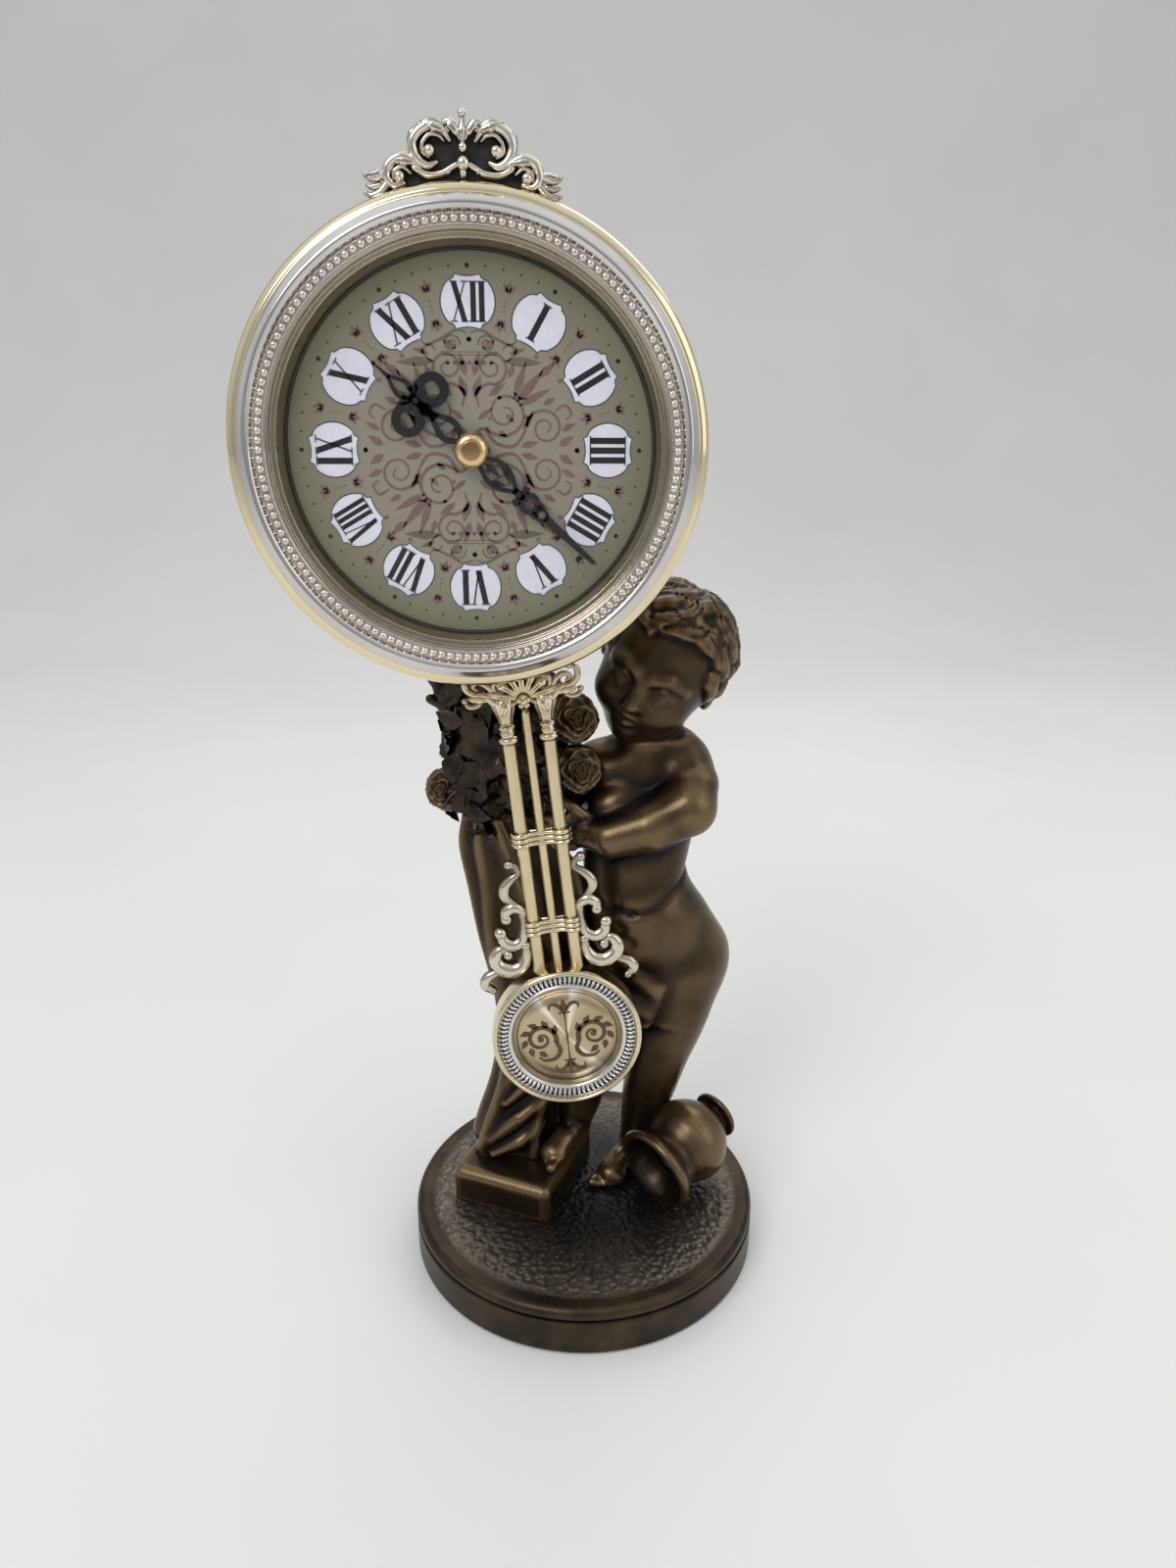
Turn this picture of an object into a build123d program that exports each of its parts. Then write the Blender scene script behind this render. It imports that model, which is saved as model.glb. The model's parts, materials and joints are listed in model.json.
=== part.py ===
from build123d import *
import math
import os

os.makedirs("parts", exist_ok=True)

# Frame: origin at the middle of the base's underside, dial facing -Y, +Z up. Millimetres.

# Fits and clearances
running_fit = 0.05
seat_gap = 0.1
lift_gap = 0.3
screw_clearance = 0.15
swing_gap = 1.5

# Base
base_radius = 57.0
base_height = 16.0
base_wall = 3.0
base_top_wall = 4.0
base_bead_radius = 2.2
base_groove_depth = 0.7
felt_thickness = 1.0
felt_inset = 3.0
base_screw_radius = 2.0
base_screw_head_radius = 4.0
base_screw_head_height = 2.4
base_screw_reach = 8.0

# Slab that the bush and the raised foot stand on
slab_width = 35.0
slab_depth = 40.0
slab_height = 12.2
slab_x = -20.5
slab_y = 6.0
slab_turn = -24.7
slab_edge = 1.6

# Water urn, lying on its side
urn_mouth_x = 22.0
urn_mouth_y = -11.0
urn_mouth_radius = 14.0
urn_neck_radius = 9.0
urn_belly_radius = 14.0
urn_foot_radius = 8.0
urn_length = 33.0
urn_neck_at = 6.6
urn_belly_at = 18.0
urn_stem_radius = 4.8
urn_wall = 2.0
urn_mouth_depth = 9.0
urn_bearing = 38.7
urn_tilt = 13.5

# Clock head
head_x = -30.0
head_z = 258.0
dial_y = -31.0
bezel_radius = 57.6
bezel_rise = 10.0
bezel_crown_radius = 52.7
bezel_bevel_drop = 2.4
bezel_bevel_width = 3.0
bezel_lip = 1.6
bead_circle_radius = 49.6
bead_radius = 1.05
bead_seat = 0.3
bead_flange = 0.7
crystal_radius = 47.4
crystal_thickness = 1.4
crystal_level = 6.2
crystal_ledge = 1.2
dial_radius = 46.0
dial_window_radius = 44.8
dial_thickness = 0.8
retainer_lip = 0.2
retainer_inner_radius = 43.0
retainer_thickness = 1.2
retainer_screw_radius = 1.0
retainer_screw_head_radius = 1.8
retainer_screw_head_height = 1.1
retainer_screw_bite = 2.4
retainer_screw_count = 4
drum_radius = 52.0
drum_wall = 1.6
drum_depth = 29.0
drum_rabbet = 2.0
hatch_radius = 33.0
hatch_offset = 9.0
hatch_lip = 2.0
hatch_thickness = 1.6
hatch_plug_depth = 2.4
hatch_plug_wall = 1.6

# Movement
movement_width = 56.0
movement_top = 40.5
movement_bottom = -26.0
movement_thickness = 17.0
movement_wall = 1.2
bush_radius = 3.0
bush_flange_radius = 5.6
bush_flange_thickness = 1.0
bush_nut_radius = 4.6
bush_nut_height = 1.2
arbor_radius = 1.0
pipe_radius = 2.0
gear_module = 0.5
gear_face = 1.4
gear_gap = 0.6
gear_backlash = 0.1
wheel_addendum = 0.5
pinion_addendum = 0.7
gear_dedendum = 1.0
cannon_teeth = 10
wheel_teeth = 30
wheel_pinion_teeth = 8
hour_teeth = 32
pressure_angle = 20.0
idler_bearing = 36.87
setter_bearing = -36.87
stud_radius = 0.8
bearing_boss_radius = 2.6
bearing_boss_length = 6.0
knob_radius = 5.0
knob_height = 3.0
knob_stem_radius = 1.2
knob_opening_gap = 1.5
cell_radius = 7.1
cell_length = 50.0
cell_drop = 17.0
cell_pip_radius = 2.6
cell_pip_height = 1.2
contact_size = 8.0
board_thickness = 1.2
board_height = 20.0
coil_radius = 8.0
coil_core_radius = 2.5
magnet_radius = 4.0
magnet_thickness = 1.0
magnet_drop = 14.0

# Hands
hour_hand_length = 30.0
minute_hand_length = 40.5
hand_thickness = 0.5
hand_hub_radius = 3.6
hand_gap = 0.5
hand_rim = 1.3
hand_stem = 1.8
hand_tip = 0.9
hand_bore_gap = 0.02
hub_cap_radius = 4.2
hub_cap_height = 1.7
hub_cap_bevel = 1.0
hour_shown = 10
minute_shown = 22

# Pendulum, measured down from its pivot
pivot_rise = 37.0
pivot_pin_radius = 1.0
pivot_head_radius = 1.9
pivot_head_height = 0.8
pendulum_gap = 1.6
rest_swing = 6.4
swing_amplitude = 8.0
hanger_width = 6.0
hanger_thickness = 1.0
eye_radius = 4.0
cradle_half_width = 18.0
cradle_case_gap = 4.0
cradle_depth = 11.0
cradle_thickness = 3.0
cradle_rim = 1.6
cradle_eye_radius = 2.5
rod_spacing = 5.75
rod_radius = 1.9
centre_rod_radius = 1.3
cup_radius = 3.3
cup_waist = 2.3
cup_length = 7.0
collar_radius = 2.8
collar_length = 6.5
rod_socket = 5.0
upper_clamp_below = 42.4
lower_clamp_below = 71.0
clamp_height = 5.0
clamp_half_width = 8.9
clamp_depth = 5.6
clamp_groove = 0.5
bob_below = 108.0
bob_radius = 23.2
bob_depth = 11.0
bob_wall = 1.7
bob_chamfer = 1.2
bob_back_chamfer = 3.0
reed_inner_radius = 17.8
reed_height = 2.1
medallion_thickness = 1.0
medallion_gap = 0.2
bob_face_depth = 3.0
rod_bite = 6.0
nub_radius = 1.8
scroll_wire = 1.25
scroll_ball = 1.6

# Crest on top of the bezel
crest_half_width = 22.0
crest_height = 14.5
crest_thickness = 4.0
crest_band = 2.2
crest_rim = 2.1
crest_setback = 5.0

# Stand post
post_radius = 5.0
post_foot_height = 150.0
post_plate_width = 18.0
post_plate_height = 22.0
post_plate_drop = 39.0
post_plate_thickness = 3.0
post_screw_radius = 1.5
post_screw_head_radius = 2.8
post_screw_head_height = 1.8
post_screw_reach = 5.0
post_screw_pitch = 10.0
post_case_sink = 1.0

# Places worked out from the sizes above
ground_z = base_height
slab_top = ground_z + slab_height
head_plane = Plane(origin=(head_x, dial_y, head_z), x_dir=(1, 0, 0), z_dir=(0, -1, 0))
bezel_seat = dial_thickness + retainer_lip
crystal_top = crystal_level + crystal_thickness
bead_flange_radius = bead_circle_radius + bead_radius + bead_seat
drum_back = bezel_seat + drum_depth
drum_bore = drum_radius - drum_wall
movement_front = dial_thickness
movement_back_level = movement_front + movement_thickness
movement_inside = movement_front + movement_wall
pendulum_level = movement_back_level + pendulum_gap + hanger_thickness / 2
hour_level = movement_inside + bush_flange_thickness + gear_gap
train_level = hour_level + gear_face + gear_gap
gear_distance = gear_module * (cannon_teeth + wheel_teeth) / 2
idler_x = gear_distance * math.cos(math.radians(idler_bearing))
idler_y = gear_distance * math.sin(math.radians(idler_bearing))
knob_x = idler_x + gear_distance * math.cos(math.radians(setter_bearing))
knob_y = idler_y + gear_distance * math.sin(math.radians(setter_bearing))
hour_hand_level = bush_nut_height + hand_gap
minute_hand_level = hour_hand_level + 2 * hand_thickness + hand_gap
hub_cap_level = minute_hand_level + hand_thickness
pivot = Pos(head_x, dial_y + pendulum_level, head_z + pivot_rise)
rod_y = -(hanger_thickness + cradle_thickness) / 2
cradle_top_radius = drum_radius + cradle_case_gap
cradle_top = pivot_rise + cradle_top_radius
cradle_bottom = cradle_top + cradle_depth
upper_clamp_drop = cradle_bottom + upper_clamp_below
lower_clamp_drop = cradle_bottom + lower_clamp_below
bob_drop = cradle_bottom + bob_below
capital_end = cradle_bottom + cup_length + collar_length
outer_rod_start = capital_end - rod_socket
outer_rod_end = bob_drop - math.sqrt(bob_radius ** 2 - rod_spacing ** 2) + rod_bite
weight_face = bob_depth / 2 - bob_face_depth
post_y = dial_y + drum_back + post_plate_thickness + post_radius - post_case_sink


def on_head(shape):
    """Place a piece drawn with the dial axis along Z, dial face at Z = 0, XII towards +Y."""
    return head_plane.location * shape


def on_pendulum(shape):
    """Place a piece drawn hanging plumb below the pivot at the origin."""
    return pivot * Rot(0, -rest_swing, 0) * shape


def turned(points):
    """A solid of revolution about Z from a closed outline of (radius, height) points."""
    outline = Polyline(*points, close=True)
    return revolve(Plane.XZ * make_face(outline), Axis.Z)


def disc(radius, low, high):
    return Pos(0, 0, low) * extrude(Circle(radius), high - low)


def ring(outer, inner, low, high):
    return Pos(0, 0, low) * extrude(Circle(outer) - Circle(inner), high - low)


def slab(x_low, x_high, y_low, y_high, z_low, z_high):
    size = (x_high - x_low, y_high - y_low, z_high - z_low)
    middle = ((x_low + x_high) / 2, (y_low + y_high) / 2, (z_low + z_high) / 2)
    return Pos(*middle) * Box(*size)


def upright(sketch, thickness, back):
    """Extrude a sketch drawn in X and Z, from the plane Y = back towards the viewer."""
    plane = Plane(origin=(0, back, 0), x_dir=(1, 0, 0), z_dir=(0, -1, 0))
    return plane.location * extrude(sketch, thickness)


def limb(start, end, start_radius, end_radius):
    """A tapered limb with round ends."""
    run = Vector(*end) - Vector(*start)
    taper = Cone(start_radius, end_radius, run.length, align=(Align.CENTER, Align.CENTER, Align.MIN))
    shaft = Plane(origin=start, z_dir=run).location * taper
    return shaft + Pos(*start) * Sphere(start_radius) + Pos(*end) * Sphere(end_radius)


def above(x, y, height):
    """A point of the statue, given by its height above the ground."""
    return (x, y, ground_z + height)


def egg(centre, width_radius, height_radius, lean=0, nod=0):
    """A spheroid, leaning sideways about Y and nodding about X."""
    arc = EllipticalCenterArc((0, 0), width_radius, height_radius, start_angle=-90, arc_size=180)
    half = make_face([arc, Line(arc @ 1, arc @ 0)])
    return Pos(*centre) * Rot(nod, lean, 0) * revolve(Plane.XZ * half, Axis.Z)


# Base


def make_base():
    rim = base_radius - base_bead_radius
    skirt_top = base_height - 2 * base_bead_radius - base_groove_depth
    bead = CenterArc((rim, base_height - base_bead_radius), base_bead_radius, 90, -180)
    rest = Polyline(
        bead @ 1,
        (base_radius - base_groove_depth, skirt_top + base_groove_depth / 2),
        (base_radius, skirt_top),
        (base_radius, felt_thickness),
        (base_radius - base_wall, felt_thickness),
        (base_radius - base_wall, base_height - base_top_wall),
        (0, base_height - base_top_wall),
        (0, base_height),
        bead @ 0,
    )
    return revolve(Plane.XZ * make_face([bead, *rest.edges()]), Axis.Z)


def make_felt():
    return disc(base_radius - felt_inset, 0, felt_thickness)


def base_screw_places():
    return [(slab_x, slab_y), (left_heel[0], left_heel[1])]


def make_base_screws():
    under = base_height - base_top_wall
    screw = disc(base_screw_head_radius, under - base_screw_head_height, under)
    screw += disc(base_screw_radius, under, ground_z + base_screw_reach)
    return [Pos(x, y, 0) * screw for x, y in base_screw_places()]


def base_screw_bores():
    bore = disc(base_screw_radius + screw_clearance, 0, ground_z + base_screw_reach + seat_gap)
    return [Pos(x, y, 0) * bore for x, y in base_screw_places()]


# Statue

left_heel = (19.0, 13.0)
left_toes = (7.0, -2.0)
right_heel = (-3.0, 7.5)
right_toes = (-13.5, -6.0)
foot_radius = 4.6
toe_radius = 4.0
sole_sink = 0.8

# Torso: x, y and height of each section's middle, half width and half depth
torso_sections = [
    (23, 14, 66, 17, 13),
    (25, 14, 84, 23, 16),
    (21, 11, 99, 20, 16.5),
    (16.6, 10, 113, 16.8, 15),
    (17.5, 11, 130, 18, 14),
    (18.5, 12, 147, 17, 11.5),
    (21, 12, 157, 9.5, 9),
    (23, 11.5, 166, 7.8, 7.8),
]

# Cloth round the hips, in the same terms, and where it ends
drape_sections = [
    (22, 13, 72, 22.5, 18.5),
    (21.5, 12, 90, 22.0, 19.0),
]
drape_end_x = 27
drape_back_y = 12

face_middle = (22, 9, 178)
face_radius = 16.5
face_height = 19.5
face_nod = 8
hair_middle = (26, 12.5, 185)
hair_radius = 18.5
hair_height = 21.0
head_lean = 18

# Limbs: start, end and radii there, each place as x, y and height above the ground
figure_limbs = [
    ((30, 11, 147), (31, -2.5, 138), 9.6, 8.2),
    ((31, -2.5, 138), (7.5, -3, 129), 8.0, 6.4),
    ((7.5, -3, 129), (-5, 1, 130), 6.2, 4.0),
    ((6, 15, 145), (-18, 22, 134), 9.0, 7.4),
    ((-18, 22, 134), (-34, 11, 127), 7.2, 5.0),
    ((31, 14, 77), (26, 12, 44), 16.0, 10.2),
    ((26, 12, 44), (22.5, 14, 30), 10.0, 9.0),
    ((22.5, 14, 30), (19, 13, 8), 8.6, 6.0),
    ((12, 14, 76), (1, 10, 46), 14.5, 10.0),
    ((1, 10, 46), (-1, 11, 32), 9.6, 8.4),
    ((-1, 11, 32), (-3, 9, slab_height + 7), 8.2, 5.6),
    ((18, 25, 79), (34, 25, 79), 10.5, 11.0),
]


def statue_limb(start, end, start_radius, end_radius):
    """A limb whose ends are given by x, y and height above the ground."""
    return limb(above(*start), above(*end), start_radius, end_radius)


def oval_loft(sections):
    """A loft through level ovals."""
    ovals = []
    for x, y, height, width, depth in sections:
        ovals.append(Pos(*above(x, y, height)) * Ellipse(width, depth))
    return loft(ovals)


def make_figure():
    """The child, one casting: lofted torso, tapered limbs, head with a cap of hair."""
    figure = oval_loft(torso_sections)
    figure += egg(above(*face_middle), face_radius, face_height, lean=head_lean, nod=face_nod)
    figure += egg(above(*hair_middle), hair_radius, hair_height, lean=head_lean)
    for part in figure_limbs:
        figure += statue_limb(*part)
    figure += foot(left_heel, left_toes, ground_z)
    figure += foot(right_heel, right_toes, slab_top)
    return figure


def foot(heel, toes, floor):
    """A foot with a flat sole on the given floor."""
    back = (*heel, floor + foot_radius - sole_sink)
    front = (*toes, floor + toe_radius - sole_sink)
    sole_cut = slab(-base_radius, base_radius, -base_radius, base_radius, floor - 2 * foot_radius, floor)
    return limb(back, front, foot_radius, toe_radius) - sole_cut


def make_loin_drape():
    """Cloth across the front of the hips, on the side of the bush."""
    low, high = [ground_z + section[2] for section in drape_sections]
    kept = slab(-base_radius, drape_end_x, -base_radius, drape_back_y, low, high)
    return oval_loft(drape_sections) & kept


def make_slab():
    block = Box(slab_width, slab_depth, slab_height, align=(Align.CENTER, Align.CENTER, Align.MIN))
    block = chamfer(block.edges().group_by(Axis.Z)[-1], slab_edge)
    return Pos(slab_x, slab_y, ground_z) * Rot(0, 0, slab_turn) * block


def make_urn():
    """A jug on its side: flared mouth, round belly and a disc foot."""
    lip = urn_wall / 2
    outline = Spline(
        (urn_mouth_radius, 0),
        (urn_neck_radius, urn_neck_at),
        (urn_belly_radius, urn_belly_at),
        (urn_stem_radius, urn_length - urn_wall),
    )
    floor_line = Polyline(
        outline @ 1,
        (urn_foot_radius, urn_length - urn_wall),
        (urn_foot_radius, urn_length),
        (0, urn_length),
        (0, urn_mouth_depth),
        (urn_neck_radius - urn_wall, urn_mouth_depth),
        (urn_neck_radius - urn_wall, urn_neck_at),
        (urn_mouth_radius - lip, 0),
        outline @ 0,
    )
    jug = revolve(Plane.XZ * make_face([outline, *floor_line.edges()]), Axis.Z)
    mouth_z = ground_z + urn_mouth_radius * math.cos(math.radians(urn_tilt)) - sole_sink
    turn = Rot(0, 0, urn_bearing) * Rot(0, 90 - urn_tilt, 0)
    jug = Pos(urn_mouth_x, urn_mouth_y, mouth_z) * turn * jug
    return jug - slab(0, 2 * base_radius, -base_radius, base_radius, ground_z - urn_mouth_radius, ground_z)


cloth_top = 128.0
cloth_folds = 7
cloth_fold_depth = 0.12

# Hanging cloth: x, y and height of each section's middle, half width, half depth and turn
cloth_sections = [
    (-29.5, 9, cloth_top, 8.5, 7.5, -20),
    (-21, 9, 110, 14.0, 8.5, -12),
    (-18, 9, 92, 14.0, 9.0, -6),
    (-14, 9, 74, 14.0, 9.5, 0),
    (-13, 9, 60, 12.5, 9.5, 0),
    (-20, 9, 30, 13.5, 11.0, -12),
    (-24, 9, slab_height, 15.0, 12.0, slab_turn),
]

# Stem and bare branch of the bush: start, end and radii there
bush_stem = ((-29, 10, cloth_top), (-22, 10, cloth_top + 20), 7.5, 9.0)
bush_branch = ((-36, 14, 160), (-45, 15, 178), 3.2, 1.8)

# Leaf masses: x, y, height and radius
bush_mass = [
    (-22, 9, 152, 13.0),
    (-33, 12, 167, 10.5),
    (-14, 10, 165, 11.0),
    (-11, 9, 143, 11.5),
    (-34, 11, 141, 9.5),
]
# Rose heads: x, y, height, radius and how far each faces sideways
bloom_places = [
    (-3.5, 3.0, 165, 7.2, 0.15),
    (-2.5, 3.0, 149, 7.4, 0.15),
    (-42.0, 7.0, 142, 6.6, -0.5),
    (-20.0, 19.0, 172, 7.0, -0.5),
    (-38.0, 22.0, 156, 6.5, -0.5),
]
bloom_rise = 0.35

# Hollow of a rose head, in shares of its radius
hollow_floor = 0.15
hollow_mouth = 0.62
hollow_depth = 0.8
hollow_middle = 0.9


def make_bush():
    """The rose bush: a stem rising out of the cloth into a mass of leaves, with one bare branch."""
    bush = statue_limb(*bush_stem)
    bush -= slab(-base_radius, base_radius, -base_radius, base_radius, ground_z, ground_z + cloth_top)
    for x, y, height, radius in bush_mass:
        bush += Pos(*above(x, y, height)) * Sphere(radius)
    bush += statue_limb(*bush_branch)
    return bush


def make_cast_cloth():
    """Cloth hanging from the bush down to the slab, with its main folds."""
    sections = []
    for x, y, height, width, depth, turn in cloth_sections:
        sections.append(Pos(*above(x, y, height)) * Rot(0, 0, turn) * cloth_section(width, depth))
    return loft(sections)


def cloth_section(width, depth):
    """A closed scalloped section: folds round an oval."""
    steps = 4 * cloth_folds
    points = []
    for step in range(steps):
        angle = 2 * math.pi * step / steps
        reach = 1 + cloth_fold_depth * math.cos(cloth_folds * angle)
        points.append((width * reach * math.cos(angle), depth * reach * math.sin(angle)))
    return make_face(Spline(*points, periodic=True))


def make_blooms():
    """Rose heads: a globe of petals opened by a hollow."""
    blooms = []
    for x, y, height, radius, sideways in bloom_places:
        hollow = Cone(radius * hollow_floor, radius * hollow_mouth, radius * hollow_depth)
        bloom = Sphere(radius) - Pos(0, 0, radius * hollow_middle) * hollow
        facing = Plane(origin=above(x, y, height), z_dir=(sideways, -1, bloom_rise))
        blooms.append(facing.location * bloom)
    return blooms


# Clock head


def make_bezel():
    bevel_end = bezel_crown_radius + bezel_bevel_width
    lip_level = bezel_rise - bezel_bevel_drop - bezel_lip / 3
    skirt = bezel_seat + drum_rabbet
    bezel = turned([
        (dial_window_radius, 0),
        (crystal_radius - crystal_ledge, crystal_level),
        (crystal_radius + seat_gap, crystal_level),
        (crystal_radius + seat_gap, crystal_top),
        (bead_flange_radius + seat_gap, crystal_top),
        (bead_flange_radius + seat_gap, crystal_top + bead_flange),
        (bezel_crown_radius, bezel_rise),
        (bevel_end, bezel_rise - bezel_bevel_drop),
        (bevel_end, lip_level),
        (bezel_radius - bezel_lip / 4, lip_level - bezel_lip / 4),
        (bezel_radius, lip_level - bezel_lip / 2),
        (bezel_radius, -skirt),
        (drum_radius + seat_gap, -skirt),
        (drum_radius + seat_gap, -bezel_seat),
        (dial_radius + seat_gap, -bezel_seat),
        (dial_radius + seat_gap, 0),
    ])
    for spot in retainer_screw_spots():
        bezel -= spot * disc(retainer_screw_radius + screw_clearance, -bezel_seat, retainer_screw_bite)
    return bezel


def retainer_screw_spots():
    circle = (dial_radius + drum_bore) / 2
    return PolarLocations(circle, retainer_screw_count, start_angle=45)


def make_bead_ring():
    flange = ring(bead_flange_radius, crystal_radius - crystal_ledge, crystal_top, crystal_top + bead_flange)
    bead_line = revolve(
        Plane.XZ * Pos(bead_circle_radius, crystal_top + bead_flange) * Circle(bead_radius), Axis.Z
    )
    bead_line -= disc(bezel_radius, crystal_top - bead_radius, crystal_top)
    return flange + bead_line


def make_crystal():
    return disc(crystal_radius, crystal_level, crystal_top)


def make_dial():
    return ring(dial_radius, bush_radius + seat_gap, -dial_thickness, 0)


def make_retainer():
    outer = drum_bore - seat_gap
    retainer = ring(outer, retainer_inner_radius, -bezel_seat - retainer_thickness, -bezel_seat)
    retainer += ring(dial_radius - seat_gap, retainer_inner_radius, -bezel_seat, -dial_thickness)
    for spot in retainer_screw_spots():
        retainer -= spot * disc(retainer_screw_radius + screw_clearance, -drum_back, 0)
    return retainer


def make_retainer_screws():
    top = -bezel_seat - retainer_thickness
    screw = disc(retainer_screw_head_radius, top - retainer_screw_head_height, top)
    screw += disc(retainer_screw_radius, top, retainer_screw_bite - seat_gap)
    return [on_head(spot * screw) for spot in retainer_screw_spots()]


def make_drum():
    """Tubular case with a back wall, a round hatch opening and a slot for the pendulum."""
    drum = ring(drum_radius, drum_bore, -drum_back, -bezel_seat)
    drum += disc(drum_bore, -drum_back, -drum_back + drum_wall)
    drum -= Pos(0, hatch_offset, 0) * disc(hatch_radius, -drum_back, -drum_back + drum_wall)
    reach = pivot_rise + drum_radius
    half_slot = reach * math.sin(math.radians(swing_amplitude)) + hanger_width / 2 + swing_gap
    half_depth = hanger_thickness / 2 + swing_gap
    drum -= slab(
        -half_slot, half_slot, -drum_radius - 1, -drum_radius * 0.8,
        -pendulum_level - half_depth, -pendulum_level + half_depth,
    )
    for spot in post_screw_spots():
        drum -= spot * disc(post_screw_radius + screw_clearance, -drum_back, 0)
    return drum


def post_screw_spots():
    half = post_screw_pitch / 2
    return [Pos(0, -post_plate_drop - half, 0), Pos(0, -post_plate_drop + half, 0)]


def make_post_screws():
    inside = -drum_back + drum_wall
    screw = disc(post_screw_head_radius, inside, inside + post_screw_head_height)
    screw += disc(post_screw_radius, -drum_back - post_screw_reach, inside)
    return [on_head(spot * screw) for spot in post_screw_spots()]


def make_post():
    """The bronze post that rises out of the bush and carries the case by its back."""
    plate = slab(
        -post_plate_width / 2, post_plate_width / 2,
        -post_plate_drop - post_plate_height / 2, -post_plate_drop + post_plate_height / 2,
        -drum_back - post_plate_thickness, -drum_back,
    )
    plate = fillet(plate.edges().filter_by(Axis.Z), post_plate_width / 4)
    post_top = head_z - post_plate_drop
    foot_z = ground_z + post_foot_height
    post = Pos(head_x, post_y, foot_z) * Cylinder(
        post_radius, post_top - foot_z, align=(Align.CENTER, Align.CENTER, Align.MIN)
    )
    post += Pos(head_x, post_y, post_top) * Sphere(post_radius)
    post = on_head(plate) + post
    post -= on_head(disc(bezel_radius, -drum_back, 0))
    for spot in post_screw_spots():
        post -= on_head(spot * disc(post_screw_radius + screw_clearance, -drum_back - post_screw_reach, 0))
    return post


def make_hatch():
    """Round back cover that pulls off for the cell, with an opening round the setting knob."""
    middle = Pos(0, hatch_offset, 0)
    hatch = middle * disc(hatch_radius + hatch_lip, -drum_back - hatch_thickness, -drum_back)
    plug_radius = hatch_radius - lift_gap
    plug = ring(plug_radius, plug_radius - hatch_plug_wall, -drum_back, -drum_back + hatch_plug_depth)
    hatch += middle * plug
    hatch -= Pos(knob_x, knob_y, 0) * disc(knob_radius + knob_opening_gap, -2 * drum_back, 0)
    return hatch


# Movement


def gear(teeth, addendum, phase):
    """Flat-flanked involute gear face, one tooth centred on the phase angle."""
    pitch_radius = gear_module * teeth / 2
    base_circle = pitch_radius * math.cos(math.radians(pressure_angle))
    root = pitch_radius - gear_dedendum * gear_module
    tip = pitch_radius + addendum * gear_module
    half_tooth = math.pi / (2 * teeth) - gear_backlash / (2 * pitch_radius)
    pitch_roll = math.tan(math.radians(pressure_angle)) - math.radians(pressure_angle)
    flank = []
    for radius in (root, max(base_circle, root), pitch_radius, tip):
        press = math.acos(min(1.0, base_circle / radius))
        flank.append((radius, half_tooth + pitch_roll - math.tan(press) + press))
    points = []
    for tooth in range(teeth):
        middle = math.radians(phase) + 2 * math.pi * tooth / teeth
        for radius, half in flank:
            points.append((radius * math.cos(middle - half), radius * math.sin(middle - half)))
        for radius, half in reversed(flank):
            points.append((radius * math.cos(middle + half), radius * math.sin(middle + half)))
    return make_face(Polyline(*points, close=True))


def gear_blank(teeth, addendum, phase, level):
    return Pos(0, 0, -level - gear_face) * extrude(gear(teeth, addendum, phase), gear_face)


def make_housing():
    """Movement case: open-backed box with a stud for the intermediate wheel and a cell bay."""
    housing = movement_block(0, movement_bottom, movement_top, -movement_back_level, -movement_front)
    housing -= movement_block(
        movement_wall, bay_wall_y() + movement_wall / 2, movement_top - movement_wall,
        -movement_back_level, -movement_inside,
    )
    housing -= movement_block(
        movement_wall, movement_bottom + movement_wall, bay_wall_y() - movement_wall / 2,
        -movement_back_level, -movement_inside,
    )
    housing -= disc(bush_radius + seat_gap, -movement_inside, 0)
    stud = disc(stud_radius, -train_level - gear_face - gear_gap, -movement_inside)
    return housing + Pos(idler_x, idler_y, 0) * stud


def movement_block(inset, y_low, y_high, z_low, z_high):
    """A block of the movement's outline, drawn in from its sides, rounded to pass the dial retainer."""
    half = movement_width / 2 - inset
    block = slab(-half, half, y_low, y_high, z_low, z_high)
    return block & disc(retainer_inner_radius - lift_gap - inset, z_low, z_high)


def bay_wall_y():
    return -cell_drop + cell_radius + seat_gap + movement_wall / 2


def make_movement_back():
    """Plate that closes the gear side of the movement, with bearing bosses and the pendulum pin."""
    inset = movement_wall + seat_gap
    low = bay_wall_y() + movement_wall / 2 + seat_gap
    inner = -movement_back_level + movement_wall
    plate = movement_block(inset, low, movement_top - inset, -movement_back_level, inner)
    boss = disc(bearing_boss_radius, inner, inner + bearing_boss_length)
    plate += boss
    plate += Pos(knob_x, knob_y, 0) * boss
    plate -= disc(arbor_radius + running_fit, -movement_back_level + seat_gap, inner + bearing_boss_length)
    plate -= Pos(knob_x, knob_y, 0) * disc(
        knob_stem_radius + running_fit, -movement_back_level, inner + bearing_boss_length
    )
    pin_end = -pendulum_level - hanger_thickness / 2 - seat_gap
    pin = disc(pivot_pin_radius, pin_end, -movement_back_level)
    pin += disc(pivot_head_radius, pin_end - pivot_head_height, pin_end)
    pin += disc(pivot_head_radius, -pendulum_level + hanger_thickness / 2 + seat_gap, -movement_back_level)
    return plate + Pos(0, pivot_rise, 0) * pin


def make_bush_tube():
    bore = pipe_radius + running_fit
    flange = ring(bush_flange_radius, bore, -movement_inside - bush_flange_thickness, -movement_inside)
    return flange + ring(bush_radius, bore, -movement_inside, bush_nut_height)


def make_bush_nut():
    return extrude(RegularPolygon(bush_nut_radius, 6) - Circle(bush_radius + seat_gap), bush_nut_height)


def make_minute_arbor():
    end = -movement_back_level + 2 * seat_gap
    arbor = disc(arbor_radius, end, hub_cap_level)
    return arbor + gear_blank(cannon_teeth, pinion_addendum, idler_bearing, train_level)


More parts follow.
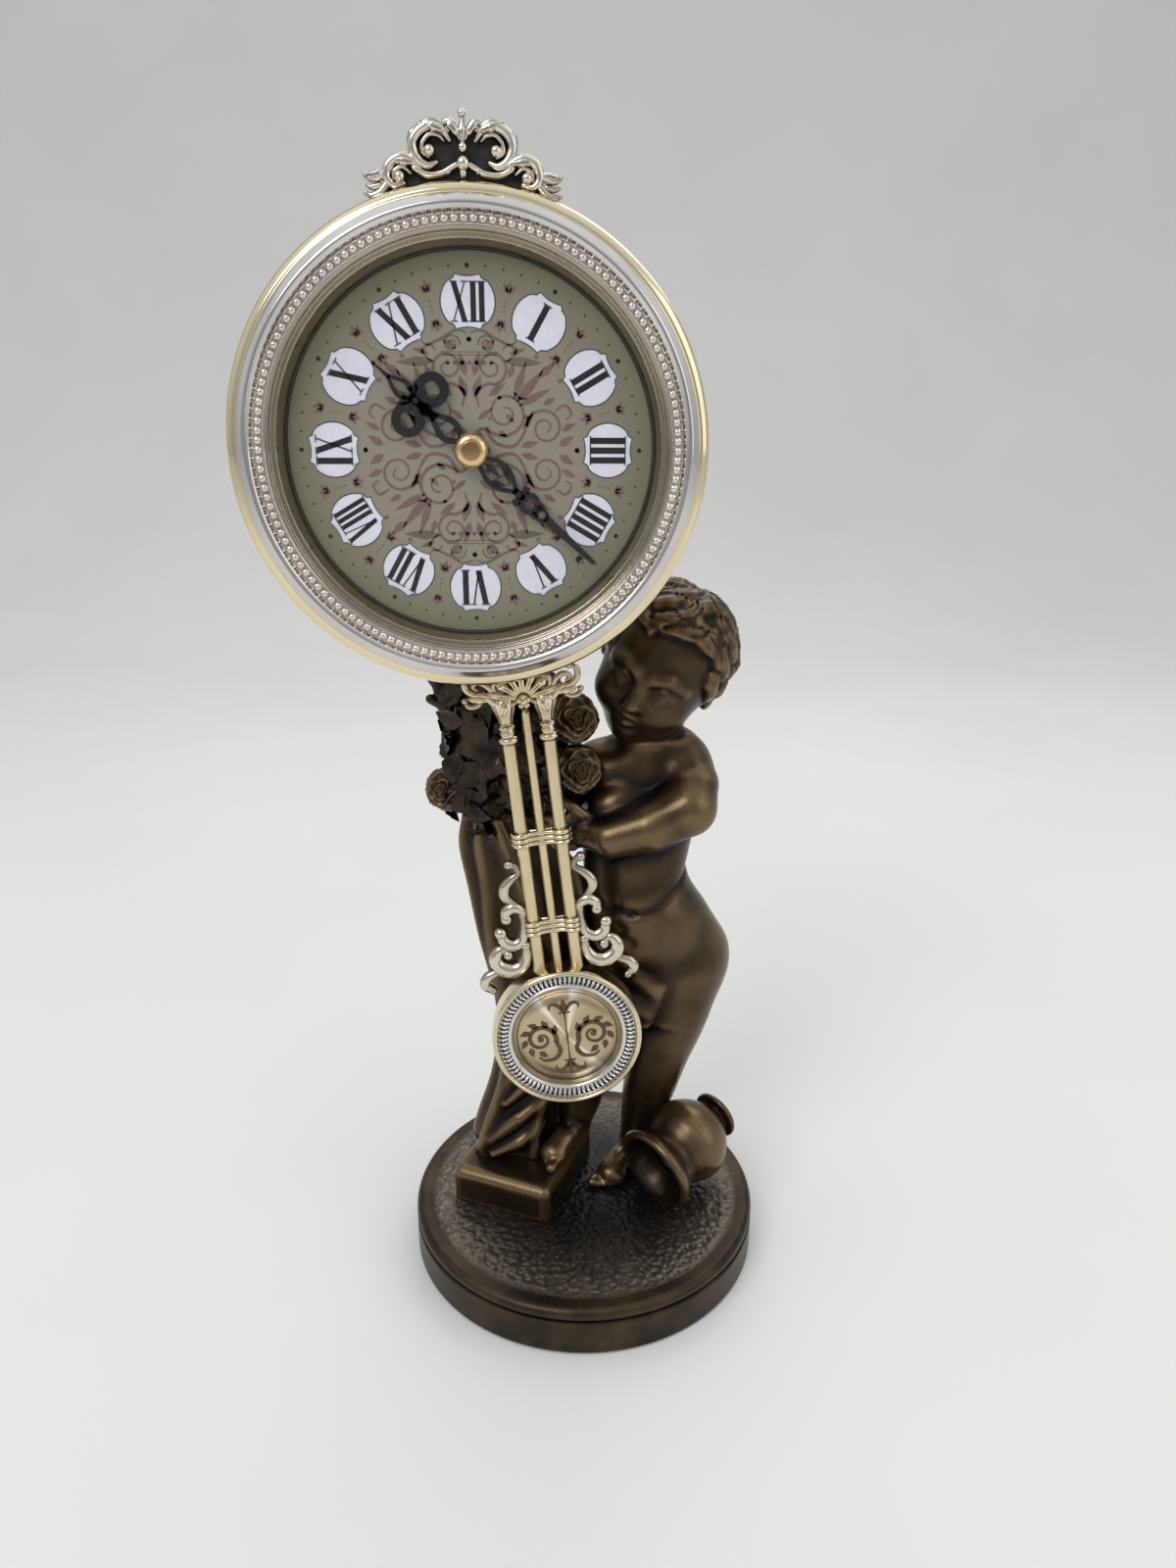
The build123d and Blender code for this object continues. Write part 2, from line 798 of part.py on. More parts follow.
def make_hour_wheel():
    wheel = disc(pipe_radius, -hour_level - gear_face, hour_hand_level + hand_thickness)
    wheel += gear_blank(hour_teeth, wheel_addendum, idler_bearing + 180 / hour_teeth, hour_level)
    return wheel - disc(arbor_radius + running_fit, -drum_back, bezel_rise)


def make_idler():
    facing = idler_bearing + 180
    idler = gear_blank(wheel_teeth, wheel_addendum, facing + 180 / wheel_teeth, train_level)
    idler += gear_blank(wheel_pinion_teeth, pinion_addendum, facing, hour_level)
    idler += disc(pipe_radius / 2 + stud_radius / 2, -train_level - gear_face, -hour_level)
    idler -= disc(stud_radius + running_fit, -drum_back, 0)
    return Pos(idler_x, idler_y, 0) * idler


def make_knob():
    pitch = 360 / wheel_teeth
    offset = (setter_bearing - (idler_bearing + 180 + pitch / 2)) % pitch
    ratio = wheel_teeth / cannon_teeth
    phase = setter_bearing + 180 + offset * ratio + 180 / cannon_teeth
    knob = gear_blank(cannon_teeth, pinion_addendum, phase, train_level)
    grip = -drum_back - hatch_thickness
    knob += disc(knob_stem_radius, grip, -train_level - gear_face)
    knob += disc(knob_radius, grip - knob_height / 2, grip + knob_height / 2)
    return Pos(knob_x, knob_y, 0) * knob


def make_cell():
    level = -movement_inside - cell_radius - seat_gap
    body = Rot(0, 90, 0) * disc(cell_radius, -cell_length / 2, cell_length / 2 - cell_pip_height)
    body += Rot(0, 90, 0) * disc(cell_pip_radius, cell_length / 2 - cell_pip_height, cell_length / 2)
    return Pos(0, -cell_drop, level) * body


def make_contacts():
    level = -movement_inside - cell_radius - seat_gap
    wall = movement_width / 2 - movement_wall
    half = contact_size / 2
    contacts = []
    for low, high in ((cell_length / 2 + seat_gap, wall), (-wall, -cell_length / 2 - seat_gap)):
        contact = slab(low, high, -cell_drop - half, -cell_drop + half, level - half, level + half)
        contacts.append(on_head(contact))
    return contacts


def make_board():
    inset = movement_wall + lift_gap
    top = movement_top - inset
    front = -movement_inside
    return movement_block(inset, top - board_height, top, front - board_thickness, front)


def make_coil():
    face = -movement_inside - board_thickness
    end = -movement_back_level + movement_wall
    coil = ring(coil_radius, coil_core_radius, end + seat_gap, face)
    return Pos(0, pivot_rise - magnet_drop, 0) * coil


# Hands


def hand_turn(degrees):
    return Rot(0, 0, -degrees)


# Openings of the hands: share of the hand's length, place across, half width, half length
hour_openings = [
    (0.27, 0.0, 1.5, 2.9),
    (0.53, -4.5, 2.8, 2.8),
    (0.53, 4.5, 2.8, 2.8),
    (0.73, 0.0, 1.0, 2.7),
]
minute_openings = [
    (0.23, -1.5, 0.9, 3.6),
    (0.23, 1.5, 0.9, 3.6),
    (0.46, 0.0, 1.3, 1.4),
    (0.56, 0.0, 0.8, 0.9),
]


def pierced_hand(length, openings, bore):
    """A tapered stem with rimmed openings along it, round a bored hub."""
    half, tip = hand_stem / 2, hand_tip / 2
    outline = Circle(hand_hub_radius)
    outline += make_face(Polyline((-half, 0), (-tip, length), (tip, length), (half, 0), close=True))
    for share, across, half_width, half_length in openings:
        outline += Pos(across, share * length) * Ellipse(half_width + hand_rim, half_length + hand_rim)
    for share, across, half_width, half_length in openings:
        outline -= Pos(across, share * length) * Ellipse(half_width, half_length)
    outline -= Circle(bore + hand_bore_gap)
    return extrude(outline, hand_thickness)


def make_hour_hand():
    return Pos(0, 0, hour_hand_level) * pierced_hand(hour_hand_length, hour_openings, pipe_radius)


def make_minute_hand():
    return Pos(0, 0, minute_hand_level) * pierced_hand(minute_hand_length, minute_openings, arbor_radius)


def make_hub_cap():
    return turned([
        (0, hub_cap_level),
        (hub_cap_radius, hub_cap_level),
        (hub_cap_radius, hub_cap_level + hub_cap_height - hub_cap_bevel),
        (hub_cap_radius - hub_cap_bevel, hub_cap_level + hub_cap_height),
        (0, hub_cap_level + hub_cap_height),
    ])


# Crest


# Scrolls of the crest: shares of its half width and height, radius as a share of its height
crest_scrolls = [
    (0.34, 0.45, 0.33),
    (0.64, 0.14, 0.26),
    (0.85, -0.06, 0.16),
    (0.97, -0.30, 0.12),
]
# Leaves of the crest: shares of its half width and height, half width and half height as shares of its height
crest_leaves = [
    (0.0, 0.42, 0.17, 0.34),
    (0.13, 0.72, 0.10, 0.16),
    (0.46, 0.76, 0.09, 0.14),
    (0.66, 0.44, 0.09, 0.15),
    (0.0, 0.82, 0.06, 0.18),
]


def make_crest():
    """Pierced rococo crest: paired scrolls and leaves on a band round the bezel."""
    edge = bezel_radius
    outline = Circle(edge + crest_band) - Circle(edge)
    outline = outline & (Pos(0, edge) * Rectangle(2 * crest_half_width, edge))
    openings = []
    for side in (-1, 1):
        for across, up, size in crest_scrolls:
            place = Pos(side * across * crest_half_width, edge + up * crest_height)
            radius = size * crest_height
            outline += place * Circle(radius)
            if radius > crest_rim:
                openings.append(place * Circle(radius - crest_rim))
        for across, up, half_width, half_height in crest_leaves:
            place = Pos(side * across * crest_half_width, edge + up * crest_height)
            outline += place * Ellipse(half_width * crest_height, half_height * crest_height)
    for opening in openings:
        outline -= opening
    outline -= Circle(edge)
    return Pos(0, 0, crest_setback - crest_thickness) * extrude(outline, crest_thickness)


# Pendulum


def make_hanger():
    length = cradle_top + cradle_depth / 2
    outline = Pos(0, -length / 2) * Rectangle(hanger_width, length) + Circle(eye_radius)
    outline -= Circle(pivot_pin_radius + running_fit)
    return upright(outline, hanger_thickness, hanger_thickness / 2)


def make_magnet():
    return upright(Pos(0, -magnet_drop) * Circle(magnet_radius), magnet_thickness, -hanger_thickness / 2)


def make_cradle():
    """Filigree lunette under the case: side scrolls with eyes, a middle palmette and two column seats."""
    top = Pos(0, -pivot_rise) * Circle(cradle_top_radius)
    outline = Pos(0, -cradle_top) * Ellipse(cradle_half_width - cradle_rim, cradle_depth)
    eyes = []
    for side in (-1, 1):
        seat = Pos(side * rod_spacing, -cradle_bottom + cup_radius)
        outline += seat * Rectangle(2 * cup_radius, 2 * cup_radius)
        eye = Pos(side * (cradle_half_width - cradle_eye_radius - cradle_rim), -cradle_top - cradle_rim)
        outline += eye * Circle(cradle_eye_radius + cradle_rim)
        eyes.append(eye * Circle(cradle_eye_radius - cradle_rim / 2))
    outline += Pos(0, -cradle_bottom + cup_radius / 2) * Rectangle(2 * rod_spacing, cup_radius)
    for eye in eyes:
        outline -= eye
    outline -= top
    return upright(outline, cradle_thickness, -hanger_thickness / 2)


def down_rod(x, radius, start, end):
    rod = Cylinder(radius, end - start, align=(Align.CENTER, Align.CENTER, Align.MAX))
    return Pos(x, rod_y, -start) * rod


# Outline of the capital's collar: share of its length and radius there
collar_outline = [
    (0.0, collar_radius),
    (0.25, collar_radius),
    (0.35, cup_waist),
    (0.5, cup_waist),
    (0.62, collar_radius),
    (0.9, collar_radius),
    (1.0, cup_waist),
]


def make_capital():
    """Turned cup with stacked rings, bored for the rod."""
    waist = cradle_bottom + cup_length
    points = [(0, -cradle_bottom), (cup_radius, -cradle_bottom), (cup_waist, -waist)]
    points += [(radius, -waist - collar_length * share) for share, radius in collar_outline]
    capital = turned([*points, (0, -capital_end)])
    return capital - disc(rod_radius + seat_gap / 2, -capital_end, -capital_end + rod_socket)


def make_centre_rod():
    return down_rod(0, centre_rod_radius, cradle_bottom, bob_drop - bob_radius + rod_bite)


def make_clamp(drop):
    """Strap across the three rods, grooved along its face."""
    outline = Pos(0, -drop) * RectangleRounded(2 * clamp_half_width, clamp_height, clamp_height / 4)
    clamp = upright(outline, clamp_depth, rod_y + clamp_depth / 2)
    for level in (-clamp_height / 5, clamp_height / 5):
        groove = Pos(0, -drop + level) * Rectangle(2 * clamp_half_width, clamp_groove)
        clamp -= upright(groove, clamp_groove, rod_y - clamp_depth / 2 + clamp_groove)
    for x, radius in ((-rod_spacing, rod_radius), (0, centre_rod_radius), (rod_spacing, rod_radius)):
        clamp -= down_rod(x, radius + seat_gap / 2, drop - clamp_height, drop + clamp_height)
    return clamp


# Each arc of the scroll: place beside the middle rod, drop below the lower clamp, radius, start, span
scroll_arcs = [
    (10.9, -19.0, 1.8, 40, 190),
    (9.4, -11.1, 4.9, -80, 165),
    (12.3, -2.6, 3.2, 20, 170),
    (13.0, 0.6, 4.0, 180, 195),
    (14.2, 11.2, 4.8, 130, 280),
]
scroll_links = [
    ((9.7, -17.6), (9.8, -16.0)),
    ((10.2, -6.3), (10.6, -5.4)),
    ((13.0, 4.6), (11.1, 7.5)),
    ((17.6, 13.9), (22.6, 17.8)),
]
scroll_balls = [(12.3, -20.2), (15.3, -3.7), (16.9, -0.4), (17.3, 7.5), (23.4, 19.0)]


def make_scroll():
    """Cast scrollwork beside the lower clamp: C-scrolls with rolled ends and a leaf foot."""
    scroll = scroll_wire_arc(*scroll_arcs[0])
    for arc in scroll_arcs[1:]:
        scroll += scroll_wire_arc(*arc)
    for start, end in scroll_links:
        scroll += limb(beside_clamp(*start), beside_clamp(*end), scroll_wire, scroll_wire * 1.2)
    for ball in scroll_balls:
        scroll += Pos(*beside_clamp(*ball)) * Sphere(scroll_ball)
    return scroll


def beside_clamp(x, below):
    return (x, rod_y, -lower_clamp_drop - below)


def scroll_wire_arc(x, below, radius, start, span):
    """A round wire bent to an arc in the plane of the rods."""
    middle = Plane(origin=beside_clamp(x, below), x_dir=(1, 0, 0), z_dir=(0, -1, 0))
    path = middle.location * CenterArc((0, 0), radius, start, span)
    wire = sweep(Plane(origin=path @ 0, z_dir=path % 0) * Circle(scroll_wire), path=path)
    return wire + Pos(*(path @ 0)) * Sphere(scroll_wire) + Pos(*(path @ 1)) * Sphere(scroll_wire)


def bob_place(shape):
    """Place a piece drawn with the bob's axis along Z, face towards +Z."""
    plane = Plane(origin=(0, rod_y, -bob_drop), x_dir=(1, 0, 0), z_dir=(0, -1, 0))
    return plane.location * shape


def rod_bores():
    gap = seat_gap / 2
    bores = [down_rod(0, centre_rod_radius + gap, cradle_bottom, bob_drop - bob_radius + rod_bite + gap)]
    for side in (-1, 1):
        bores.append(down_rod(side * rod_spacing, rod_radius + gap, outer_rod_start, outer_rod_end + gap))
    return bores


def make_bob_shell():
    half = bob_depth / 2
    bore = bob_radius - bob_wall
    shell = bob_place(turned([
        (0, -half), (bob_radius - bob_back_chamfer, -half), (bob_radius, -half + bob_back_chamfer),
        (bob_radius, half - bob_chamfer), (bob_radius - bob_chamfer / 2, half),
        (bore, half - bob_chamfer / 2), (bore, -half + bob_back_chamfer),
        (bore - bob_back_chamfer, -half + bob_wall), (0, -half + bob_wall),
    ]))
    for bore_cut in rod_bores():
        shell -= bore_cut
    return shell


def make_bob_weight():
    half = bob_depth / 2
    bore = bob_radius - bob_wall - seat_gap
    weight = bob_place(turned([
        (0, -half + bob_wall), (bore - bob_back_chamfer - seat_gap, -half + bob_wall),
        (bore, -half + bob_back_chamfer + seat_gap), (bore, weight_face), (0, weight_face),
    ]))
    for bore_cut in rod_bores():
        weight -= bore_cut
    return weight


def make_reed_ring():
    outer = bob_radius - bob_wall - seat_gap
    return bob_place(ring(outer, reed_inner_radius, weight_face, weight_face + reed_height))


def make_medallion():
    return bob_place(disc(reed_inner_radius - medallion_gap, weight_face, weight_face + medallion_thickness))


def make_nub():
    nub = Pos(0, rod_y, -bob_drop - bob_radius - nub_radius / 2) * Sphere(nub_radius)
    return nub - bob_place(disc(bob_radius, -bob_depth, bob_depth))


def keep(name, *shapes):
    """Write one node: a solid, or a group of separate solids."""
    shape = shapes[0] if len(shapes) == 1 else Compound(children=list(shapes))
    export_step(shape, f"parts/{name}.step")


def stand():
    bores = base_screw_bores()
    base = make_base()
    block = make_slab()
    figure = make_figure()
    post = make_post()
    urn = make_urn()
    bush = make_bush()
    cloth = make_cast_cloth()
    for bore in bores:
        base -= bore
        block -= bore
        figure -= bore
    figure -= block
    urn -= figure
    drape = make_loin_drape() - figure
    cloth = cloth - figure - block
    blooms = [bloom - figure - post for bloom in make_blooms()]
    bush = bush - figure - post
    for bloom in blooms:
        bush -= bloom
    keep("base_plinth", base)
    keep("base_felt", make_felt())
    keep("base_screws", *make_base_screws())
    keep("stone_slab", block)
    keep("cherub_figure", figure)
    keep("loin_drape", drape)
    keep("water_urn", urn)
    keep("cast_cloth", cloth)
    keep("support_post", post)
    keep("rose_bush", bush)
    keep("rose_blooms", *blooms)


def head():
    keep("bezel", on_head(make_bezel()))
    keep("bead_ring", on_head(make_bead_ring()))
    keep("crystal", on_head(make_crystal()))
    keep("dial_plate", on_head(make_dial()))
    keep("dial_retainer", on_head(make_retainer()))
    keep("retainer_screws", *make_retainer_screws())
    keep("case_drum", on_head(make_drum()))
    keep("post_screws", *make_post_screws())
    keep("rear_cover", on_head(make_hatch()))
    keep("crest", on_head(make_crest()))
    keep("movement_housing", on_head(make_housing()))
    keep("movement_back", on_head(make_movement_back()))
    keep("centre_bush", on_head(make_bush_tube()))
    keep("bush_nut", on_head(make_bush_nut()))
    keep("battery_cell", on_head(make_cell()))
    keep("cell_contacts", *make_contacts())
    keep("circuit_board", on_head(make_board()))
    keep("drive_coil", on_head(make_coil()))


def hands():
    minute_turn = hand_turn(minute_shown * 6)
    hour_turn = hand_turn((hour_shown + minute_shown / 60) * 30)
    keep("minute_arbor", on_head(make_minute_arbor()))
    keep("minute_hand", on_head(minute_turn * make_minute_hand()))
    keep("hub_cap", on_head(make_hub_cap()))
    keep("hour_wheel", on_head(make_hour_wheel()))
    keep("hour_hand", on_head(hour_turn * make_hour_hand()))
    keep("intermediate_wheel", on_head(make_idler()))
    keep("setting_knob", on_head(make_knob()))


def pendulum():
    lower = make_clamp(lower_clamp_drop)
    upper = make_clamp(upper_clamp_drop)
    capitals = [Pos(side * rod_spacing, rod_y, 0) * make_capital() for side in (-1, 1)]
    scroll = make_scroll() - lower
    keep("pendulum_hanger", on_pendulum(make_hanger()))
    keep("drive_magnet", on_pendulum(make_magnet()))
    keep("cradle", on_pendulum(make_cradle()))
    keep("rod_capitals", *[on_pendulum(capital) for capital in capitals])
    keep("left_rod", on_pendulum(down_rod(-rod_spacing, rod_radius, outer_rod_start, outer_rod_end)))
    keep("right_rod", on_pendulum(down_rod(rod_spacing, rod_radius, outer_rod_start, outer_rod_end)))
    keep("centre_rod", on_pendulum(make_centre_rod()))
    keep("upper_clamp", on_pendulum(upper))
    keep("lower_clamp", on_pendulum(lower))
    keep("right_scroll", on_pendulum(scroll))
    keep("left_scroll", on_pendulum(mirror(scroll, Plane.YZ)))
    keep("bob_shell", on_pendulum(make_bob_shell()))
    keep("bob_weight", on_pendulum(make_bob_weight()))
    keep("reeded_ring", on_pendulum(make_reed_ring()))
    keep("bob_medallion", on_pendulum(make_medallion()))
    keep("bob_nub", on_pendulum(make_nub()))


stand()
head()
hands()
pendulum()
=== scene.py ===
import bpy
import json
import math
import numpy as np
from mathutils import Matrix, Vector


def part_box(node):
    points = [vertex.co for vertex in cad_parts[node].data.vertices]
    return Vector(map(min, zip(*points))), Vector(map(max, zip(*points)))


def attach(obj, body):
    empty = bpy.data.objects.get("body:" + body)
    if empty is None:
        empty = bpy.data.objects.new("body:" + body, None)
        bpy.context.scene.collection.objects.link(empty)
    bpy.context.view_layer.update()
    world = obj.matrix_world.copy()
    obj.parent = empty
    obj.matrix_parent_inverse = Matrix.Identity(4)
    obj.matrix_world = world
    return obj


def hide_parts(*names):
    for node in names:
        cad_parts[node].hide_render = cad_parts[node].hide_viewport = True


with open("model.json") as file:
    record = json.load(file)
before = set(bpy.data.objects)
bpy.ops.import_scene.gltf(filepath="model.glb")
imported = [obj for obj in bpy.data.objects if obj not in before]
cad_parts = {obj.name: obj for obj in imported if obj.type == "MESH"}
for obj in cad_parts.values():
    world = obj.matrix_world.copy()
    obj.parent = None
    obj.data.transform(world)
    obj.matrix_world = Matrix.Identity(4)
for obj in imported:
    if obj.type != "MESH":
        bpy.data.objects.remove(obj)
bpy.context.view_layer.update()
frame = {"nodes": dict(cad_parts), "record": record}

# Sizes and places are millimetres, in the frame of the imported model. Meshes are scaled to metres.
MM = 0.001
record = frame["record"]
joints = {joint["name"]: joint for joint in record["behaviour"]["joints"]}


def corner(node, high):
    """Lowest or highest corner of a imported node, in millimetres."""
    return np.array(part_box(node)[1 if high else 0]) / MM


def middle(node):
    return (corner(node, False) + corner(node, True)) / 2


ground = corner("base_plinth", True)[2]
slab_top = corner("stone_slab", True)[2]
dial_middle = middle("dial_plate")
dial_front = corner("dial_plate", False)[1]
bezel_radius = (corner("bezel", True)[0] - corner("bezel", False)[0]) / 2
pivot = np.array(joints["pendulum_swing"]["pos_m"]) / MM
rest_swing = math.radians(6.4)


# Clay: forms are pressed on or cut away softly on a grid, then skinned

# The distance that stands for empty space, and the room round a column for its folds
EMPTY = 40.0
FOLD_ROOM = 1.4


class Clay:
    """A signed distance field on a grid of millimetres."""

    def __init__(self, low, high, step):
        self.step = step
        self.axes = [np.arange(a, b + step, step, dtype=np.float32) for a, b in zip(low, high)]
        self.field = np.full([len(axis) for axis in self.axes], EMPTY, np.float32)

    def window(self, low, high, margin):
        cuts = []
        for axis, a, b in zip(self.axes, low, high):
            first = max(int(np.searchsorted(axis, a - margin)) - 1, 0)
            last = min(int(np.searchsorted(axis, b + margin)) + 1, len(axis))
            cuts.append(slice(first, max(last, first + 1)))
        return tuple(cuts)

    def grid(self, window):
        axes = [axis[cut] for axis, cut in zip(self.axes, window)]
        return np.meshgrid(*axes, indexing="ij", sparse=True)

    def press(self, form, soft=1.0, side=1):
        """Add a form with a soft seam, or cut it away where side is -1."""
        distance, low, high = form
        window = self.window(low, high, soft + 2 * self.step)
        old = side * self.field[window]
        new = distance(*self.grid(window))
        blend = np.clip(soft - np.abs(old - new), 0, None) / soft
        self.field[window] = side * (np.minimum(old, new) - blend * blend * soft / 4)

    def cut(self, form, soft=1.0):
        self.press(form, soft, -1)

    def skin(self):
        """Surface net of the field: vertices in millimetres and quads facing outwards."""
        field = np.pad(self.field, 1, constant_values=self.step)
        inside = field < 0
        cells = tuple(n - 1 for n in field.shape)
        corners = [(i, j, k) for i in (0, 1) for j in (0, 1) for k in (0, 1)]
        view = {c: tuple(slice(o, o + n) for o, n in zip(c, cells)) for c in corners}
        count = sum(inside[view[c]].astype(np.int8) for c in corners)
        active = np.argwhere((count > 0) & (count < 8))
        index = np.full(cells, -1, np.int64)
        index[tuple(active.T)] = np.arange(len(active))
        total = np.zeros((len(active), 3))
        hits = np.zeros(len(active))
        for a in corners:
            for axis in range(3):
                if a[axis]:
                    continue
                b = tuple(1 if n == axis else a[n] for n in range(3))
                va = field[tuple((active + a).T)]
                vb = field[tuple((active + b).T)]
                cross = (va < 0) != (vb < 0)
                share = np.where(cross, va / np.where(cross, va - vb, 1), 0)
                place = np.array(a) + share[:, None] * (np.array(b) - np.array(a))
                total[cross] += place[cross]
                hits += cross
        origin = np.array([axis[0] for axis in self.axes]) - self.step
        vertices = origin + (active + total / hits[:, None]) * self.step
        quads = []
        for axis in range(3):
            u, v = (axis + 1) % 3, (axis + 2) % 3
            step = np.eye(3, dtype=int)
            lower = tuple(slice(0, -1) if n == axis else slice(None) for n in range(3))
            upper = tuple(slice(1, None) if n == axis else slice(None) for n in range(3))
            change = inside[lower].astype(np.int8) - inside[upper].astype(np.int8)
            for sign in (1, -1):
                at = np.argwhere(change == sign)
                at = at[(at[:, u] > 0) & (at[:, v] > 0)]
                ring = [at - step[u] - step[v], at - step[v], at, at - step[u]]
                quad = np.stack([index[tuple(r.T)] for r in ring], axis=1)
                quads.append(quad if sign > 0 else quad[:, ::-1])
        return vertices, np.concatenate(quads)


def ball(centre, radii, axes=np.eye(3)):
    """An ellipsoid whose own axes are the rows of the given matrix."""
    centre = np.array(centre, float)
    radii = np.broadcast_to(np.array(radii, float), 3)
    reach = np.abs(np.asarray(axes).T * radii).sum(axis=1)

    def distance(x, y, z):
        p = (x - centre[0], y - centre[1], z - centre[2])
        near = 0.0
        far = 0.0
        for row, radius in zip(axes, radii):
            along = p[0] * row[0] + p[1] * row[1] + p[2] * row[2]
            near = near + (along / radius) ** 2
            far = far + (along / radius ** 2) ** 2
        near = np.sqrt(near)
        return near * (near - 1) / np.sqrt(far + 1e-9)

    return distance, centre - reach, centre + reach


def strand(points, radii):
    """A chain of tapered round limbs through the points."""
    points = np.array(points, float)
    radii = np.broadcast_to(np.array(radii, float), len(points))

    def distance(x, y, z):
        best = None
        for a, b, ra, rb in zip(points, points[1:], radii, radii[1:]):
            run = b - a
            share = (x - a[0]) * run[0] + (y - a[1]) * run[1] + (z - a[2]) * run[2]
            share = np.clip(share / (run @ run), 0, 1)
            gap = (x - a[0] - share * run[0]) ** 2
            gap = gap + (y - a[1] - share * run[1]) ** 2 + (z - a[2] - share * run[2]) ** 2
            new = np.sqrt(gap) - (ra + (rb - ra) * share)
            best = new if best is None else np.minimum(best, new)
        return best

    reach = radii[:, None]
    return distance, (points - reach).min(axis=0), (points + reach).max(axis=0)


def smooth_rows(rows, count=60):
    """Rows of numbers, filled in smoothly between the given ones (Catmull-Rom)."""
    rows = np.array(rows, float)
    padded = np.vstack([2 * rows[0] - rows[1], rows, 2 * rows[-1] - rows[-2]])
    filled = []
    for step in np.linspace(0, len(rows) - 1, count):
        n = min(int(step), len(rows) - 2)
        t = step - n
        a, b, c, d = padded[n:n + 4]
        filled.append(0.5 * (2 * b + (c - a) * t + (2 * a - 5 * b + 4 * c - d) * t ** 2
                             + (3 * b - a - 3 * c + d) * t ** 3))
    return np.array(filled)


def column(sections, folds=None):
    """An upright oval column through sections of (x, y, z, half width, half depth).

    folds(angle, z) gives how far the wall stands out there, as a share of the radius."""
    table = smooth_rows(sections)
    spread = FOLD_ROOM * table[:, 3:5]
    low = np.append((table[:, :2] - spread).min(axis=0), table[:, 2].min())
    high = np.append((table[:, :2] + spread).max(axis=0), table[:, 2].max())

    def distance(x, y, z):
        cx, cy, a, b = (np.interp(z, table[:, 2], table[:, n]) for n in (0, 1, 3, 4))
        u, v = (x - cx) / a, (y - cy) / b
        reach = np.sqrt(u * u + v * v)
        if folds is not None:
            reach = reach / (1 + folds(np.arctan2(v, u), z))
        wall = (reach - 1) * np.minimum(a, b)
        ends = np.maximum(low[2] - z, z - high[2])
        return np.maximum(wall, ends)

    return distance, low, high


# Meshes

# Percentile of a mesh's curvature at which hollows count as fully dark and crests as fully bright: patina and
# wear on the bronze, painted shade and painted highlight on the gilt castings
FULL_WEAR_AND_LIGHT = 88


def new_object(name, vertices, faces, smooth=True):
    """An object in the scene, from vertices in metres."""
    mesh = bpy.data.meshes.new(name)
    mesh.from_pydata(np.asarray(vertices).tolist(), [], [list(map(int, f)) for f in faces])
    mesh.polygons.foreach_set("use_smooth", [smooth] * len(mesh.polygons))
    mesh.update()
    made = bpy.data.objects.new(name, mesh)
    bpy.context.scene.collection.objects.link(made)
    return made


def make_piece(name, vertices, faces, finish, body, smooth=True):
    """A finished piece riding on a body, from vertices in millimetres."""
    piece = new_object(name, np.asarray(vertices) * MM, faces, smooth)
    piece.data.materials.append(finish)
    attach(piece, body)
    return piece


def read(items, name, width, kind=float):
    """What a mesh holds under a name for each of its items, as rows of the given width."""
    values = np.empty(len(items) * width, kind)
    items.foreach_get(name, values)
    return values.reshape(-1, width)


def add_wear_and_painted_light(piece, passes=3):
    """Curvature attribute on each vertex: 0 in hollows, about 0.5 on flats, 1 on crests, from the mesh's own
    curvature. The bronze reads it as patina and wear, the gilt castings as painted shade in hollows and
    painted highlight on crests.
    """
    mesh = piece.data
    count = len(mesh.vertices)
    places = read(mesh.vertices, "co", 3)
    normals = read(mesh.vertices, "normal", 3)
    ends = read(mesh.edges, "vertices", 2, int)
    both = np.concatenate([ends, ends[:, ::-1]])
    share = np.bincount(both[:, 0], minlength=count).clip(1)

    def average(values):
        columns = []
        for column_values in values.T:
            columns.append(np.bincount(both[:, 0], column_values[both[:, 1]], count) / share)
        return np.stack(columns, axis=1)

    crest = ((places - average(places)) * normals).sum(axis=1, keepdims=True)
    for _ in range(passes):
        crest = (crest + average(crest)) / 2
    spread = np.percentile(np.abs(crest), FULL_WEAR_AND_LIGHT) + 1e-9
    wear_and_painted_light = np.clip(0.5 + 0.5 * crest[:, 0] / spread, 0, 1)
    mesh.attributes.new("wear_and_painted_light", "FLOAT", "POINT").data.foreach_set("value", wear_and_painted_light)


def sculpted(name, clay, finish, body, passes=3):
    vertices, quads = clay.skin()
    piece = make_piece(name, vertices, quads, finish, body)
    add_wear_and_painted_light(piece, passes)
    return piece


def grown_mesh(name, tree, values, form):
    """Evaluate a node group once on an empty carrier, keep its mesh and drop the form it copied."""
    group, sockets = tree
    carrier = bpy.data.objects.new(name, bpy.data.meshes.new(name))
    bpy.context.scene.collection.objects.link(carrier)
    modifier = carrier.modifiers.new("grow", "NODES")
    modifier.node_group = group
    modifier[sockets["Form"]] = form
    for socket, value in values.items():
        modifier[sockets[socket]] = value
    shape = carrier.evaluated_get(bpy.context.evaluated_depsgraph_get())
    mesh = bpy.data.meshes.new_from_object(shape)
    carrier.modifiers.remove(modifier)
    carrier.data = mesh
    bpy.data.objects.remove(form)
    return carrier


# Materials


def feed(tree, socket, value):
    """Link an input to another node's output, or give it a value of its own."""
    if isinstance(value, bpy.types.NodeSocket):
        tree.links.new(value, socket)
    else:
        socket.default_value = value


